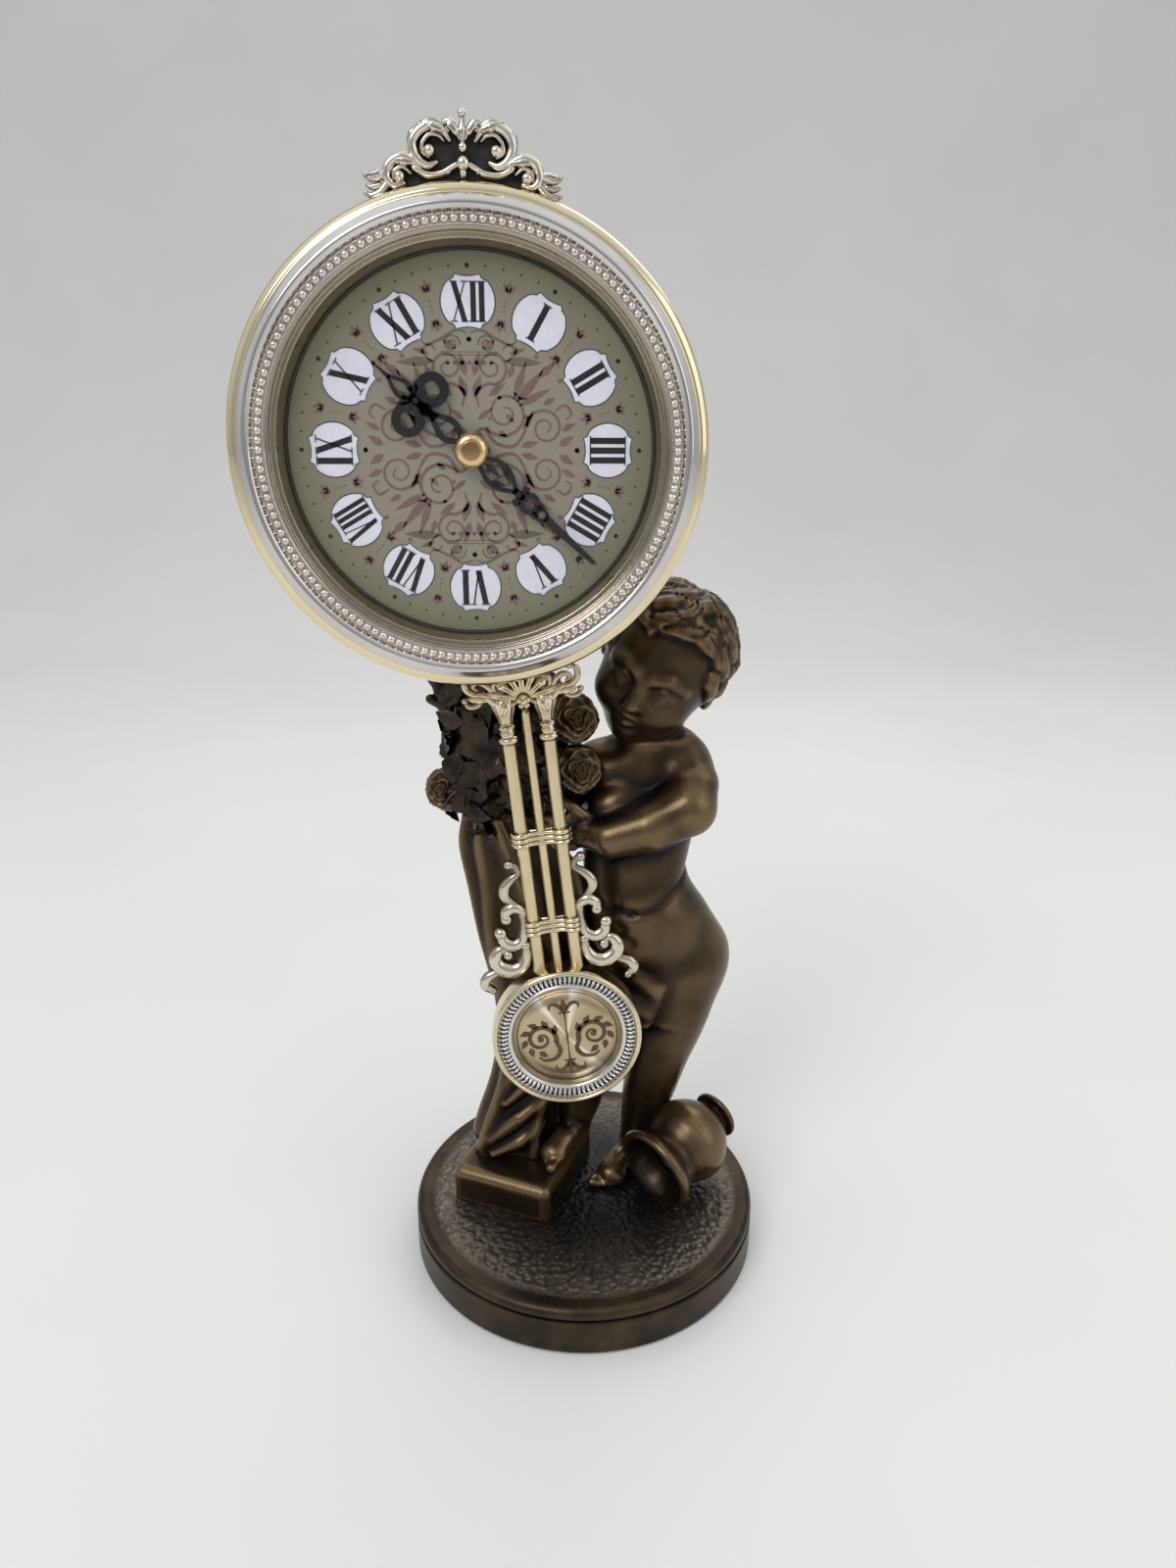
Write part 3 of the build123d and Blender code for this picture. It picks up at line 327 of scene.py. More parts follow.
class Finish:
    """One procedural material, built node by node."""

    def __init__(self, name, **shader):
        self.material = bpy.data.materials.new(name)
        self.material.use_nodes = True
        self.tree = self.material.node_tree
        self.shader = self.tree.nodes["Principled BSDF"]
        for socket, value in shader.items():
            self.shader.inputs[socket.replace("_", " ")].default_value = value

    def add(self, kind, settings=None, **sockets):
        node = self.tree.nodes.new(kind)
        for name, value in (settings or {}).items():
            setattr(node, name, value)
        for name, value in sockets.items():
            feed(self.tree, node.inputs[name.replace("_", " ")], value)
        return node

    def place(self, move=(0, 0, 0)):
        """Places on the object, in metres."""
        seat = self.add("ShaderNodeTexCoord").outputs["Object"]
        return self.add("ShaderNodeMapping", Vector=seat, Location=move).outputs[0]

    def level(self, axis):
        return self.add("ShaderNodeSeparateXYZ", Vector=self.place()).outputs[axis]

    def noise(self, scale, detail=3.0, roughness=0.5):
        return self.add("ShaderNodeTexNoise", Vector=self.place(), Scale=scale, Detail=detail,
                        Roughness=roughness).outputs["Fac"]

    def ramp(self, value, stops):
        node = self.add("ShaderNodeValToRGB", Fac=value)
        band = node.color_ramp
        while len(band.elements) < len(stops):
            band.elements.new(0.5)
        for element, (place, colour) in zip(band.elements, stops):
            element.position = place
            element.color = (*colour, 1)
        return node.outputs["Color"]

    def math(self, operation, a, b):
        node = self.add("ShaderNodeMath", {"operation": operation})
        for socket, value in zip(node.inputs, (a, b)):
            feed(self.tree, socket, value)
        return node.outputs[0]

    def range(self, value, low, high, to_low, to_high):
        return self.add("ShaderNodeMapRange", Value=value, From_Min=low, From_Max=high, To_Min=to_low,
                        To_Max=to_high).outputs["Result"]

    def mix(self, share, a, b):
        node = self.add("ShaderNodeMix", {"data_type": "RGBA"})
        for name, value in (("Factor", share), ("A", a), ("B", b)):
            feed(self.tree, next(s for s in node.inputs if s.name == name and s.enabled), value)
        return next(s for s in node.outputs if s.enabled)

    def radius(self, centre, keep):
        """Distance in metres from a centre in millimetres, counted along the kept directions only."""
        flat = self.add("ShaderNodeVectorMath", {"operation": "MULTIPLY"})
        self.tree.links.new(self.place(move=tuple(-MM * np.array(centre))), flat.inputs[0])
        flat.inputs[1].default_value = keep
        length = self.add("ShaderNodeVectorMath", {"operation": "LENGTH"})
        self.tree.links.new(flat.outputs[0], length.inputs[0])
        return length.outputs["Value"]

    def attribute(self, name):
        return self.add("ShaderNodeAttribute", {"attribute_name": name}).outputs["Fac"]

    def set(self, socket, value):
        self.tree.links.new(value, self.shader.inputs[socket])

    def bump(self, height, depth, strength, normal=None):
        """Raise the surface by up to the given depth in metres."""
        node = self.add("ShaderNodeBump", Height=height, Distance=depth, Strength=strength)
        if normal:
            self.tree.links.new(normal, node.inputs["Normal"])
        return node.outputs["Normal"]


def bronze_finish():
    """Dark bronze patina: golden where it is rubbed, near black in its hollows."""
    f = Finish("bronze_patina", Metallic=0.88)
    cloud = f.noise(90, 4, 0.6)
    wear_and_painted_light = f.math("ADD", f.attribute("wear_and_painted_light"), f.range(cloud, 0, 1, -0.16, 0.16))
    f.set("Base Color", f.ramp(wear_and_painted_light, [
        (0.04, (0.012, 0.011, 0.012)), (0.34, (0.034, 0.024, 0.016)),
        (0.60, (0.060, 0.041, 0.024)), (0.95, (0.17, 0.118, 0.060)),
    ]))
    f.set("Roughness", f.range(cloud, 0.25, 0.75, 0.24, 0.38))
    f.set("Normal", f.bump(f.noise(900, 3), 0.00008, 0.5))
    return f.material


def pebbled_bronze_finish():
    """The base: a paler pebbled ground on top with painted shade near the figure, smooth patina round the rim
    and side.
    """
    f = Finish("bronze_pebbled", Metallic=0.85)
    pits = f.add("ShaderNodeTexVoronoi", {"feature": "SMOOTH_F1"}, Vector=f.place(), Scale=560.0)
    cloud = f.noise(70, 4, 0.6)
    level = f.level("Z")
    top = f.range(level, (ground - 0.15) * MM, ground * MM - 0.00005, 0, 1)
    radius = f.radius(middle("base_plinth"), (1, 1, 0))
    field = f.math("MULTIPLY", top, f.range(radius, 0.049, 0.052, 1, 0))
    height = f.math("MULTIPLY", pits.outputs["Distance"], field)
    smooth = f.ramp(cloud, [
        (0.12, (0.014, 0.013, 0.014)), (0.45, (0.042, 0.030, 0.020)), (0.85, (0.11, 0.078, 0.043)),
    ])
    # Painted shade: the pebbled ground is darker towards the middle of the base, near the figure.
    painted_light_tone = f.math("MULTIPLY", f.range(radius, 0.024, 0.046, 0.25, 1), f.range(height, 0, 0.9, 1, 0.45))
    pebbled = f.ramp(painted_light_tone, [
        (0.15, (0.022, 0.020, 0.020)), (0.5, (0.075, 0.064, 0.053)), (0.9, (0.185, 0.158, 0.127)),
    ])
    f.set("Base Color", f.mix(field, smooth, pebbled))
    f.set("Roughness", f.range(cloud, 0.25, 0.75, 0.30, 0.46))
    f.set("Normal", f.bump(height, 0.0009, 0.8, f.bump(f.noise(900, 3), 0.00006, 0.4)))
    return f.material


def metal_finish(name, dark, light, rough, grain=40, metallic=1.0):
    """Plated metal: two close tones in soft clouds, with faint polishing marks."""
    f = Finish(name, Metallic=metallic)
    cloud = f.noise(grain, 3, 0.55)
    f.set("Base Color", f.ramp(cloud, [(0.3, dark), (0.7, light)]))
    f.set("Roughness", f.range(f.noise(grain * 6, 2), 0.25, 0.75, rough * 0.75, rough * 1.3))
    f.set("Normal", f.bump(f.noise(1600, 2), 0.00002, 0.25))
    return f.material


def cast_finish(name, recess_shade, mid, bright, rough, full_shade_y, full_highlight_y):
    """Plated casting with painted light: painted shade in its hollows and along its ground, painted highlight
    on its crests, both levels in y.
    """
    f = Finish(name, Metallic=1.0)
    # Painted light: darker towards the back of the relief, brighter towards its front, and, from curvature,
    # painted shade in hollows and painted highlight on crests.
    rise = f.range(f.level("Y"), full_shade_y * MM, full_highlight_y * MM, -0.50, 0.32)
    painted_light_tone = f.math("MULTIPLY", f.attribute("wear_and_painted_light"), 0.6)
    tone = f.math("ADD", f.math("ADD", painted_light_tone, rise), f.range(f.noise(120, 3), 0, 1, -0.08, 0.08))
    f.set("Base Color", f.ramp(tone, [(0.08, recess_shade), (0.42, mid), (0.8, bright)]))
    f.set("Roughness", f.range(tone, 0.1, 0.8, rough * 2.2, rough))
    f.set("Normal", f.bump(f.noise(1200, 2), 0.00002, 0.3))
    return f.material


def print_finish(name, dark, light, rough=0.5, metallic=0.0):
    """Printed ink or lacquer, a little uneven."""
    f = Finish(name, Metallic=metallic)
    f.set("Base Color", f.ramp(f.noise(500, 3), [(0.3, dark), (0.7, light)]))
    f.set("Roughness", f.range(f.noise(300, 2), 0.2, 0.8, rough * 0.85, rough * 1.15))
    return f.material


def dial_finish():
    """Champagne dial: fine metallic grain, darker towards its edge."""
    f = Finish("dial_champagne", Metallic=0.55)
    grain = f.noise(2600, 2, 0.6)
    radius = f.range(f.radius(dial_middle, (1, 0, 1)), 0.0, 0.046, 0, 1)
    radius = f.math("ADD", radius, f.range(grain, 0, 1, -0.1, 0.1))
    f.set("Base Color", f.ramp(radius, [
        (0.0, (0.37, 0.335, 0.275)), (0.55, (0.34, 0.312, 0.245)),
        (0.8, (0.29, 0.268, 0.195)), (1.0, (0.235, 0.22, 0.15)),
    ]))
    f.set("Roughness", f.range(grain, 0.2, 0.8, 0.38, 0.55))
    f.set("Normal", f.bump(grain, 0.00003, 0.5))
    return f.material


def bezel_finish():
    """Bezel plate: light gold lip, silvery bevel, and a darker wall down to the dial, which is painted shade.
    """
    f = Finish("bezel_plate", Metallic=1.0)
    cloud = f.noise(40, 3, 0.55)
    lip = f.ramp(cloud, [(0.3, (0.76, 0.66, 0.43)), (0.7, (0.86, 0.76, 0.53))])
    bevel = f.ramp(cloud, [(0.3, (0.60, 0.57, 0.55)), (0.7, (0.74, 0.71, 0.68))])
    # Painted shade: the wall down to the dial has a darker colour.
    wall = f.ramp(cloud, [(0.3, (0.36, 0.31, 0.24)), (0.7, (0.46, 0.41, 0.33))])
    radius = f.radius(dial_middle, (1, 0, 1))
    outer = f.mix(f.range(radius, 0.0549, 0.0551, 0, 1), bevel, lip)
    f.set("Base Color", f.mix(f.range(radius, 0.0481, 0.0484, 0, 1), wall, outer))
    f.set("Roughness", f.range(f.noise(240, 2), 0.25, 0.75, 0.10, 0.17))
    f.set("Normal", f.bump(f.noise(1600, 2), 0.00002, 0.25))
    return f.material


def channel_finish():
    """Bob's channel: silver at its two lips, with painted shade on its floor, between the reeds."""
    f = Finish("channel_plate", Metallic=1.0)
    front = pivot[1] - rod_level
    # Painted shade: darker on the channel's floor, between the reeds, silver at its lips.
    rise = f.range(f.level("Y"), (front - 3.0) * MM, (front - 3.5) * MM, 0, 1)
    depth = f.math("ADD", rise, f.range(f.noise(90, 2), 0, 1, -0.1, 0.1))
    f.set("Base Color", f.ramp(depth, [(0.15, (0.05, 0.05, 0.055)), (0.8, (0.72, 0.70, 0.67))]))
    f.set("Roughness", f.range(depth, 0.2, 0.8, 0.4, 0.16))
    return f.material


def medallion_finish():
    """Gold disc brushed round its middle, with spokes of painted highlight and painted shade set at fixed
    angles round it.
    """
    f = Finish("medallion_brushed_painted_spokes", Metallic=1.0, Anisotropic=0.6)
    centre = on_bob([(0, 0, 0)])[0] * MM
    seat = f.place(move=tuple(-centre))
    parts = f.add("ShaderNodeSeparateXYZ", Vector=seat)
    angle = f.math("ARCTAN2", parts.outputs["Z"], parts.outputs["X"])
    around = f.range(angle, -math.pi, math.pi, 0, 1)
    brush = f.noise(900, 2)
    # Painted highlight spokes and painted shade between them, at fixed angles round the middle.
    gold, spoke_highlight, spoke_shade = (0.58, 0.48, 0.31), (0.97, 0.93, 0.84), (0.47, 0.38, 0.23)
    f.set("Base Color", f.ramp(f.math("ADD", around, f.range(brush, 0, 1, -0.006, 0.006)), [
        (0.0, gold), (0.16, spoke_shade), (0.34, gold), (0.375, spoke_highlight), (0.39, gold), (0.62, spoke_shade), (0.70, gold),
        (0.735, spoke_highlight), (0.75, gold), (0.80, spoke_shade), (0.835, gold), (0.85, spoke_highlight), (0.875, gold), (1.0, gold),
    ]))
    f.set("Roughness", f.range(brush, 0.2, 0.8, 0.26, 0.40))
    return f.material


def crystal_finish():
    """Clear mineral glass, with the faintest haze of handling."""
    f = Finish("crystal_glass", IOR=1.45, Alpha=0.08, Transmission_Weight=1.0)
    f.set("Base Color", f.ramp(f.noise(30, 2), [(0.3, (0.97, 0.98, 0.99)), (0.7, (1.0, 1.0, 1.0))]))
    f.set("Roughness", f.range(f.noise(60, 2), 0.3, 0.7, 0.0, 0.03))
    return f.material


# The child


class Pose:
    """A turned and scaled frame: place(a, b, c) is a across, b up and c forward from its origin."""

    def __init__(self, origin, forward, up, size=1.0):
        self.origin = np.array(origin, float)
        self.size = size
        self.forward = np.array(forward, float) / np.linalg.norm(forward)
        across = np.cross(up, self.forward)
        self.across = across / np.linalg.norm(across)
        self.up = np.cross(self.forward, self.across)
        self.axes = np.array([self.across, self.up, self.forward])

    def place(self, a, b, c):
        return self.origin + self.size * (a * self.across + b * self.up + c * self.forward)


head = Pose((22.8, 10.0, 195.2), forward=(-0.42, -0.88, -0.20), up=(0.42, -0.10, 0.90), size=1.12)
crown = np.array([0.0, 0.93, -0.36])
brow = np.array([0.0, 0.36, 0.93])
hair_middle = np.array([0.4, 4.4, -2.6])
hair_radii = np.array([17.0, 16.8, 18.0])

# Rows of locks: polar angle from the crown at root and tip, count and thickness
hair_rows = [(0.05, 1.05, 9, 3.3), (0.45, 1.42, 13, 3.1), (0.86, 1.80, 17, 2.9), (1.28, 2.12, 18, 2.6)]

# All locks are swept round by one angle. Over the forehead they end at the fringe, and stubs are left out.
hair_sweep = 0.3
fringe = 1.30
shortest_lock = 0.22


def model_head(clay):
    """Skull, face, chin, jaw; each side's cheek, eye, lids, brow, nostril and ear; then nose and mouth."""
    def lump(a, b, c, radii, soft, side=1):
        clay.press(ball(head.place(a, b, c), head.size * np.array(radii), head.axes), soft, side)

    def line(points, radii, soft):
        clay.press(strand([head.place(*p) for p in points], head.size * np.array(radii)), soft)

    lump(0, 2.5, -1.5, (15.6, 16.0, 16.8), 2)
    lump(0, -6, 3.6, (12.6, 13.4, 12.2), 6)
    lump(0, -15.0, 10.2, 4.0, 4)
    lump(0, -16.0, 4.0, (7.0, 4.5, 6.0), 5)
    for side in (-1, 1):
        lump(side * 7.0, -7.0, 8.6, (5.6, 5.4, 5.2), 4)
        lump(side * 5.9, 0.3, 16.2, (3.2, 1.9, 1.4), 3.0, -1)
        lump(side * 5.8, -0.1, 11.2, 3.45, 0.5)
        line([(side * 2.9, 0.3, 13.8), (side * 5.8, 1.9, 14.5), (side * 8.9, 0.2, 12.6)], 0.6, 0.9)
        line([(side * 3.1, -0.6, 13.8), (side * 5.8, -1.8, 14.3), (side * 8.7, -0.4, 12.6)], 0.45, 0.9)
        line([(side * 2.6, 4.0, 14.4), (side * 6.0, 4.9, 13.8), (side * 10.0, 3.2, 11.0)],
             (1.1, 1.2, 0.9), 3.0)
        lump(side * 1.75, -5.6, 15.2, (1.25, 1.05, 1.3), 1.4)
        lump(side * 15.6, -2.4, -1.5, (1.6, 3.6, 2.6), 1.0)
    line([(0, 2.0, 14.2), (0, -2.0, 15.6), (0, -4.9, 17.2)], (1.3, 1.35, 1.75), 2.4)
    line([(-2.6, -10.0, 14.0), (-1.0, -8.9, 15.2), (0, -9.1, 15.4), (1.0, -8.9, 15.2), (2.6, -10.0, 14.0)],
         0.75, 1.2)
    line([(-2.0, -11.2, 13.9), (0, -11.5, 14.9), (2.0, -11.2, 13.9)], (0.7, 1.05, 0.7), 1.2)
    lips = [(-2.4, -10.4, 14.6), (0, -10.1, 16.0), (2.4, -10.4, 14.6)]
    clay.cut(strand([head.place(*p) for p in lips], 0.25), 0.6)
    model_hair(clay)


def on_hair(polar, around, lift):
    """A point over the scalp: polar angle from the crown, angle around it (0 is the brow)."""
    way = brow * math.cos(around) + np.array([math.sin(around), 0, 0])
    way = crown * math.cos(polar) + way * math.sin(polar)
    return head.place(*(hair_middle + way * (hair_radii + lift)))


def model_lock(clay, start, end, around, thickness, wave):
    """One lock along the scalp: it waves, thins to a point and shows the marks of a comb."""
    steps = np.linspace(0, 1, 8)
    points = []
    for t in steps:
        polar = start + (end - start) * t
        turn = around + hair_sweep + wave * math.sin(5.0 * t) / max(math.sin(polar), 0.4)
        points.append(on_hair(polar, turn, -1.7 + 1.1 * math.sin(math.pi * t) + 0.9 * t))
    points = np.array(points)
    radii = head.size * thickness * (0.7 + 0.3 * np.sin(np.pi * steps)) * (1 - 0.85 * steps ** 2.5)
    clay.press(strand(points, radii), 1.0)
    out = points - head.place(*hair_middle)
    out /= np.linalg.norm(out, axis=1)[:, None]
    side = np.cross(out, np.gradient(points, axis=0))
    side /= np.linalg.norm(side, axis=1)[:, None]
    for share in (-0.5, 0.0, 0.5):
        comb = points + radii[:, None] * (side * share + out * math.sqrt(1 - share * share))
        clay.cut(strand(comb[:-1], 0.22), 0.8)


def model_hair(clay):
    """Short wavy hair: pointed locks combed from the crown over forehead, temples and nape."""
    clay.press(ball(head.place(0.3, 6.0, -4.0), head.size * np.array((17.2, 15.9, 16.8)), head.axes), 2)
    dice = np.random.default_rng(11)
    for start, end, count, thickness in hair_rows:
        for n in range(count):
            around = 2 * math.pi * (n + 0.5 * start + dice.uniform(-0.22, 0.22)) / count
            wave = dice.choice((-1, 1)) * dice.uniform(0.18, 0.30)
            last = end + dice.uniform(-0.10, 0.12)
            if math.cos(around + hair_sweep) > 0.5:
                last = min(last, fringe + dice.uniform(-0.12, 0.08))
            if last - start > shortest_lock:
                model_lock(clay, start, last, around, thickness, wave)


# Torso: x, y and z of each section's middle, half width and half depth
torso = [
    (23, 14, 78, 17, 13),
    (24.5, 14, 90, 22.5, 15.5),
    (25, 13.5, 101, 23.2, 16.5),
    (21, 11, 115, 20, 16.5),
    (16.6, 10, 129, 16.6, 15),
    (17.5, 11, 146, 18, 14),
    (18.5, 12, 162, 17, 11.5),
    (21, 12, 172, 10, 9.5),
]


def model_neck(clay):
    clay.press(strand([(20.5, 12, 166), (23, 11.5, 186)], (8.8, 7.8)), 6)


def model_body(clay):
    clay.press(column(torso), 4)
    model_neck(clay)
    clay.press(strand([(6, 14, 161), (18, 14, 165), (29.5, 11, 163.5)], (8.6, 8.2, 9.2)), 6)
    clay.press(ball((18, 1.5, 112), (13.5, 8.5, 12)), 8)
    for x in (9.5, 24):
        clay.press(ball((x, 1.2, 151), (7.5, 4.0, 6.5)), 6)
    clay.press(ball((16, 22, 94), (12.5, 11, 13)), 8)
    clay.press(ball((34, 21.5, 94), (12.5, 11, 13)), 8)
    clay.cut(strand([(25, 34, 84), (25, 32, 104)], 0.8), 2.5)
    clay.cut(strand([(18, 27, 112), (17, 26, 135), (18.5, 25.5, 158)], 1.0), 4)


def crease(clay, low, high, line, depth, width):
    """Press a soft crease into the skin along z = line(x), fading out at its ends and towards the back."""
    window = clay.window(low, high, 0)
    x, y, z = clay.grid(window)
    fade = np.clip(np.minimum(x - low[0], high[0] - x) / 6, 0, 1) * np.clip((high[1] - y) / 10, 0, 1)
    clay.field[window] += depth * fade * np.exp(-((z - line(x)) / width) ** 2)


def belly_line(x):
    return 120.8 + np.where(x > 14, 0.030, 0.010) * (x - 14) ** 2


def model_arms(clay):
    clay.press(strand([(29.5, 11, 163.5), (32.2, 3, 159.5), (31.0, -2.5, 154)], (9.8, 9.0, 8.2)), 4)
    clay.press(strand([(31.0, -2.5, 154), (19, -4.2, 148.5), (7.5, -3.4, 145), (1, -0.5, 146)],
                      (8.2, 7.8, 6.5, 5.0)), 3)
    clay.press(ball((-1.5, 0.5, 146.5), (6.2, 3.6, 5.0)), 3)
    for z, length in ((150.5, 9.0), (147.6, 10.5), (144.7, 10.0), (142.0, 8.5)):
        finger = [(-4.0, -1.2, z), (-4.0 - length * 0.55, -2.2, z + 0.4), (-4.0 - length, 1.5, z)]
        clay.press(strand(finger, (2.0, 1.75, 1.4)), 0.7)
    clay.press(strand([(0, -1.0, 151), (-4.0, -1.8, 154.5), (-7.0, 0, 156)], (2.0, 1.8, 1.4)), 1.0)
    clay.press(strand([(6, 14, 162), (-6, 20, 156), (-18, 21, 150)], (8.8, 8.2, 7.2)), 4)
    clay.press(strand([(-18, 21, 150), (-25, 17, 147), (-30, 13, 145)], (7.2, 6.2, 4.6)), 3)


def model_foot(clay, heel, toes, floor, inner):
    """A small plump foot: heel, instep, ball and five toes. inner is the big toe's side."""
    heel, toes = np.array(heel, float), np.array(toes, float)
    length = np.linalg.norm(toes - heel)
    way = (toes - heel) / length
    side = np.array([-way[1], way[0]]) * inner

    def spot(along, across, height):
        flat = heel + way * along + side * across
        return (flat[0], flat[1], floor + height)

    sole = [spot(0, 0, 4.2), spot(length * 0.45, 0.3, 4.6), spot(length * 0.8, 0, 3.2)]
    clay.press(strand(sole, (4.8, 4.4, 3.4)), 3)
    clay.press(strand([spot(length * 0.75, 2.2, 2.6), spot(length * 0.75, -2.8, 2.2)], (2.8, 2.4)), 3)
    for n in range(5):
        across = 3.4 - 1.75 * n
        reach = length + 2.0 - 0.75 * n - 0.15 * n * n
        radius = 1.75 if n == 0 else 1.3 - 0.08 * n
        toe = [spot(length * 0.82, across * 0.9, 2.2), spot(reach, across, radius * 0.95)]
        clay.press(strand(toe, (radius, radius * 1.05)), 0.5)


def model_legs(clay):
    """Two plump legs, each one smooth limb of (x, y, z, radius) from hip to ankle."""
    standing = [(31, 14, 92, 16.2), (29.5, 12.5, 76, 13.0), (26.4, 12, 61, 10.3), (23.6, 13.6, 47, 9.2),
                (21.4, 14, 36, 7.6), (19, 13, 24, 5.6)]
    raised = [(13, 14, 91, 14.5), (6.4, 9.4, 76, 12.2), (1.2, 8.6, 62, 10.0), (-0.6, 10.6, 50, 8.8),
              (-1.7, 10.4, 42, 7.3), (-3, 9, slab_top + 7, 5.2)]
    for rows in (standing, raised):
        limb = smooth_rows(rows, 80)
        clay.press(strand(limb[:, :3], limb[:, 3]), 5)
    model_foot(clay, (18.5, 13), (6.5, -2), ground, -1)
    model_foot(clay, (-3, 7.5), (-13, -5.5), slab_top, 1)


def drape_hips(clay):
    """Raise a thin folded cloth over the front of the hips, on the side of the bush."""
    window = clay.window((-14, -18, 64), (34, 20, 124), 0)
    x, y, z = clay.grid(window)
    slope, hem, thickness = 0.68, 1.6, 0.95
    top = 107 - slope * (x - 7)
    bottom = 70 + 0.25 * x
    side = 27 - 0.30 * (94 - z) - x
    edge = np.minimum(np.minimum(top - z, z - bottom), np.minimum(side, 17 - y))
    share = np.clip(edge / hem, 0, 1)
    share = share * share * (3 - 2 * share)
    folds = 0.40 * np.sin(0.55 * (z + slope * x) + 0.5 * np.sin(0.25 * x)) * np.clip(edge / 6, 0, 1)
    clay.field[window] -= share * (thickness + folds)


def even_face(piece):
    """Even out the patina tone over the face, so that its hollows aren't left dark as those in the hair are.
    """
    layer = piece.data.attributes["wear_and_painted_light"].data
    wear_and_painted_light = read(layer, "value", 1)[:, 0]
    seen = (read(piece.data.vertices, "co", 3) / MM - head.origin) @ head.axes.T / head.size
    front = np.clip((seen[:, 2] - 4) / 5, 0, 1) * np.clip((9 - seen[:, 1]) / 4, 0, 1)
    evened, tone = 0.5, 0.68
    layer.foreach_set("value", wear_and_painted_light + evened * front * (tone - wear_and_painted_light))


def child():
    """The bronze child, cast in one: the body, and a head modelled on a finer grid."""
    body = Clay((-45, -16, ground - 1), (52, 40, 186), 0.82)
    model_legs(body)
    model_body(body)
    model_arms(body)
    crease(body, (-6, -16, 110), (44, 22, 140), belly_line, 0.6, 1.5)
    body.cut(ball((14.2, -7.6, 120.6), (1.7, 2.2, 1.0)), 1.2)
    drape_hips(body)
    body.cut(under_floor(ground), 0.3)
    body.cut(slab_space(0), 0.3)
    piece = sculpted("bronze_child", body, bronze, "stand", 16)
    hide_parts("cherub_figure", "loin_drape")
    top = Clay((-4, -18, 164), (52, 40, 226), 0.52)
    model_neck(top)
    model_head(top)
    piece = sculpted("bronze_child_head", top, bronze, "stand", 8)
    even_face(piece)


def under_floor(level):
    return (lambda x, y, z: z - level + 0 * x + 0 * y), np.array([-60, -60, 0.0]), np.array([60, 60, level])


block_place = (-20.5, 6.0)
block_half = (17.5, 20.0)
block_turn = math.radians(-24.7)


def slab_space(rounding):
    """The room that the stone block takes, its edges rounded to the given radius."""
    across = np.array([math.cos(block_turn), math.sin(block_turn)])
    back = np.array([-math.sin(block_turn), math.cos(block_turn)])

    def distance(x, y, z):
        dx, dy = x - block_place[0], y - block_place[1]
        u = np.abs(dx * across[0] + dy * across[1]) - block_half[0] + rounding
        v = np.abs(dx * back[0] + dy * back[1]) - block_half[1] + rounding
        w = z - slab_top + rounding
        outside = np.sqrt(np.maximum(u, 0) ** 2 + np.maximum(v, 0) ** 2 + np.maximum(w, 0) ** 2)
        return outside + np.minimum(np.maximum(np.maximum(u, v), w), 0) - rounding

    return distance, np.array([-50, -25, 0.0]), np.array([10, 40, slab_top])


# Drawing kit for the case and pendulum: x across, y up, n towards the viewer


class Batch:
    """Parts of one piece, drawn in x, y, n and seated together. Its flat parts lie between two levels."""

    def __init__(self, levels=(0, 1)):
        self.levels = levels
        self.vertices = []
        self.faces = []

    def strip(self, path, widths):
        self.add(ribbon(path, widths, *self.levels))

    def plate(self, outline):
        self.add(slice_of(outline, *self.levels))

    def ring(self, centre, outer, inner, count=40):
        """A flat ring of the given outer and inner radius."""
        self.add(ribbon(circle((outer + inner) / 2, count, centre), outer - inner, *self.levels, closed=True))

    def add(self, shape):
        vertices, faces = shape
        first = len(self.vertices)
        self.vertices.extend(np.asarray(vertices, float).tolist())
        self.faces.extend([[first + int(v) for v in face] for face in faces])
        return self

    def mirrored(self, *signs):
        """Add copies with x and y turned over by each pair of signs, faces kept outwards."""
        vertices, faces = np.array(self.vertices), list(self.faces)
        for sx, sy in signs:
            self.add((vertices * (sx, sy, 1), turned_over(faces) if sx * sy < 0 else faces))
        return self

    def piece(self, name, seat, finish, body, slot, smooth=True):
        made = make_piece(name, seat(np.array(self.vertices)), self.faces, finish, body, smooth)
        return made


def on_dial(p):
    """Seat points drawn from the hands' arbor on the dial face."""
    p = np.asarray(p, float)
    return np.stack([dial_middle[0] + p[:, 0], dial_front - p[:, 2], dial_middle[2] + p[:, 1]], axis=1)


def on_pendulum(p):
    """Seat points drawn from the pendulum's pivot, hanging plumb, at the pose of the photograph."""
    p = np.asarray(p, float)
    c, s = math.cos(rest_swing), math.sin(rest_swing)
    return np.stack([pivot[0] + p[:, 0] * c - p[:, 1] * s, pivot[1] - p[:, 2],
                     pivot[2] + p[:, 0] * s + p[:, 1] * c], axis=1)


def on_bob(p):
    return on_pendulum(np.asarray(p, float) + (0, -bob_drop, rod_level))


def rounded(outline, radius, steps=4):
    """A closed outline with each corner turned to a short arc."""
    points = np.array(outline, float)
    softened = []
    for before, here, after in zip(np.roll(points, 1, 0), points, np.roll(points, -1, 0)):
        a, b = before - here, after - here
        room = min(radius, 0.45 * np.linalg.norm(a), 0.45 * np.linalg.norm(b))
        start, end = here + a / np.linalg.norm(a) * room, here + b / np.linalg.norm(b) * room
        for t in np.linspace(0, 1, steps):
            softened.append((1 - t) ** 2 * start + 2 * t * (1 - t) * here + t * t * end)
    return softened


def turn_angles(count):
    return np.arange(count) * 2 * math.pi / count


def circle(radius, count, centre=(0, 0)):
    return [(centre[0] + radius * math.cos(a), centre[1] + radius * math.sin(a)) for a in turn_angles(count)]


def sided(points, side):
    """Points with x turned over where side is -1."""
    return [(side * p[0], *p[1:]) for p in points]


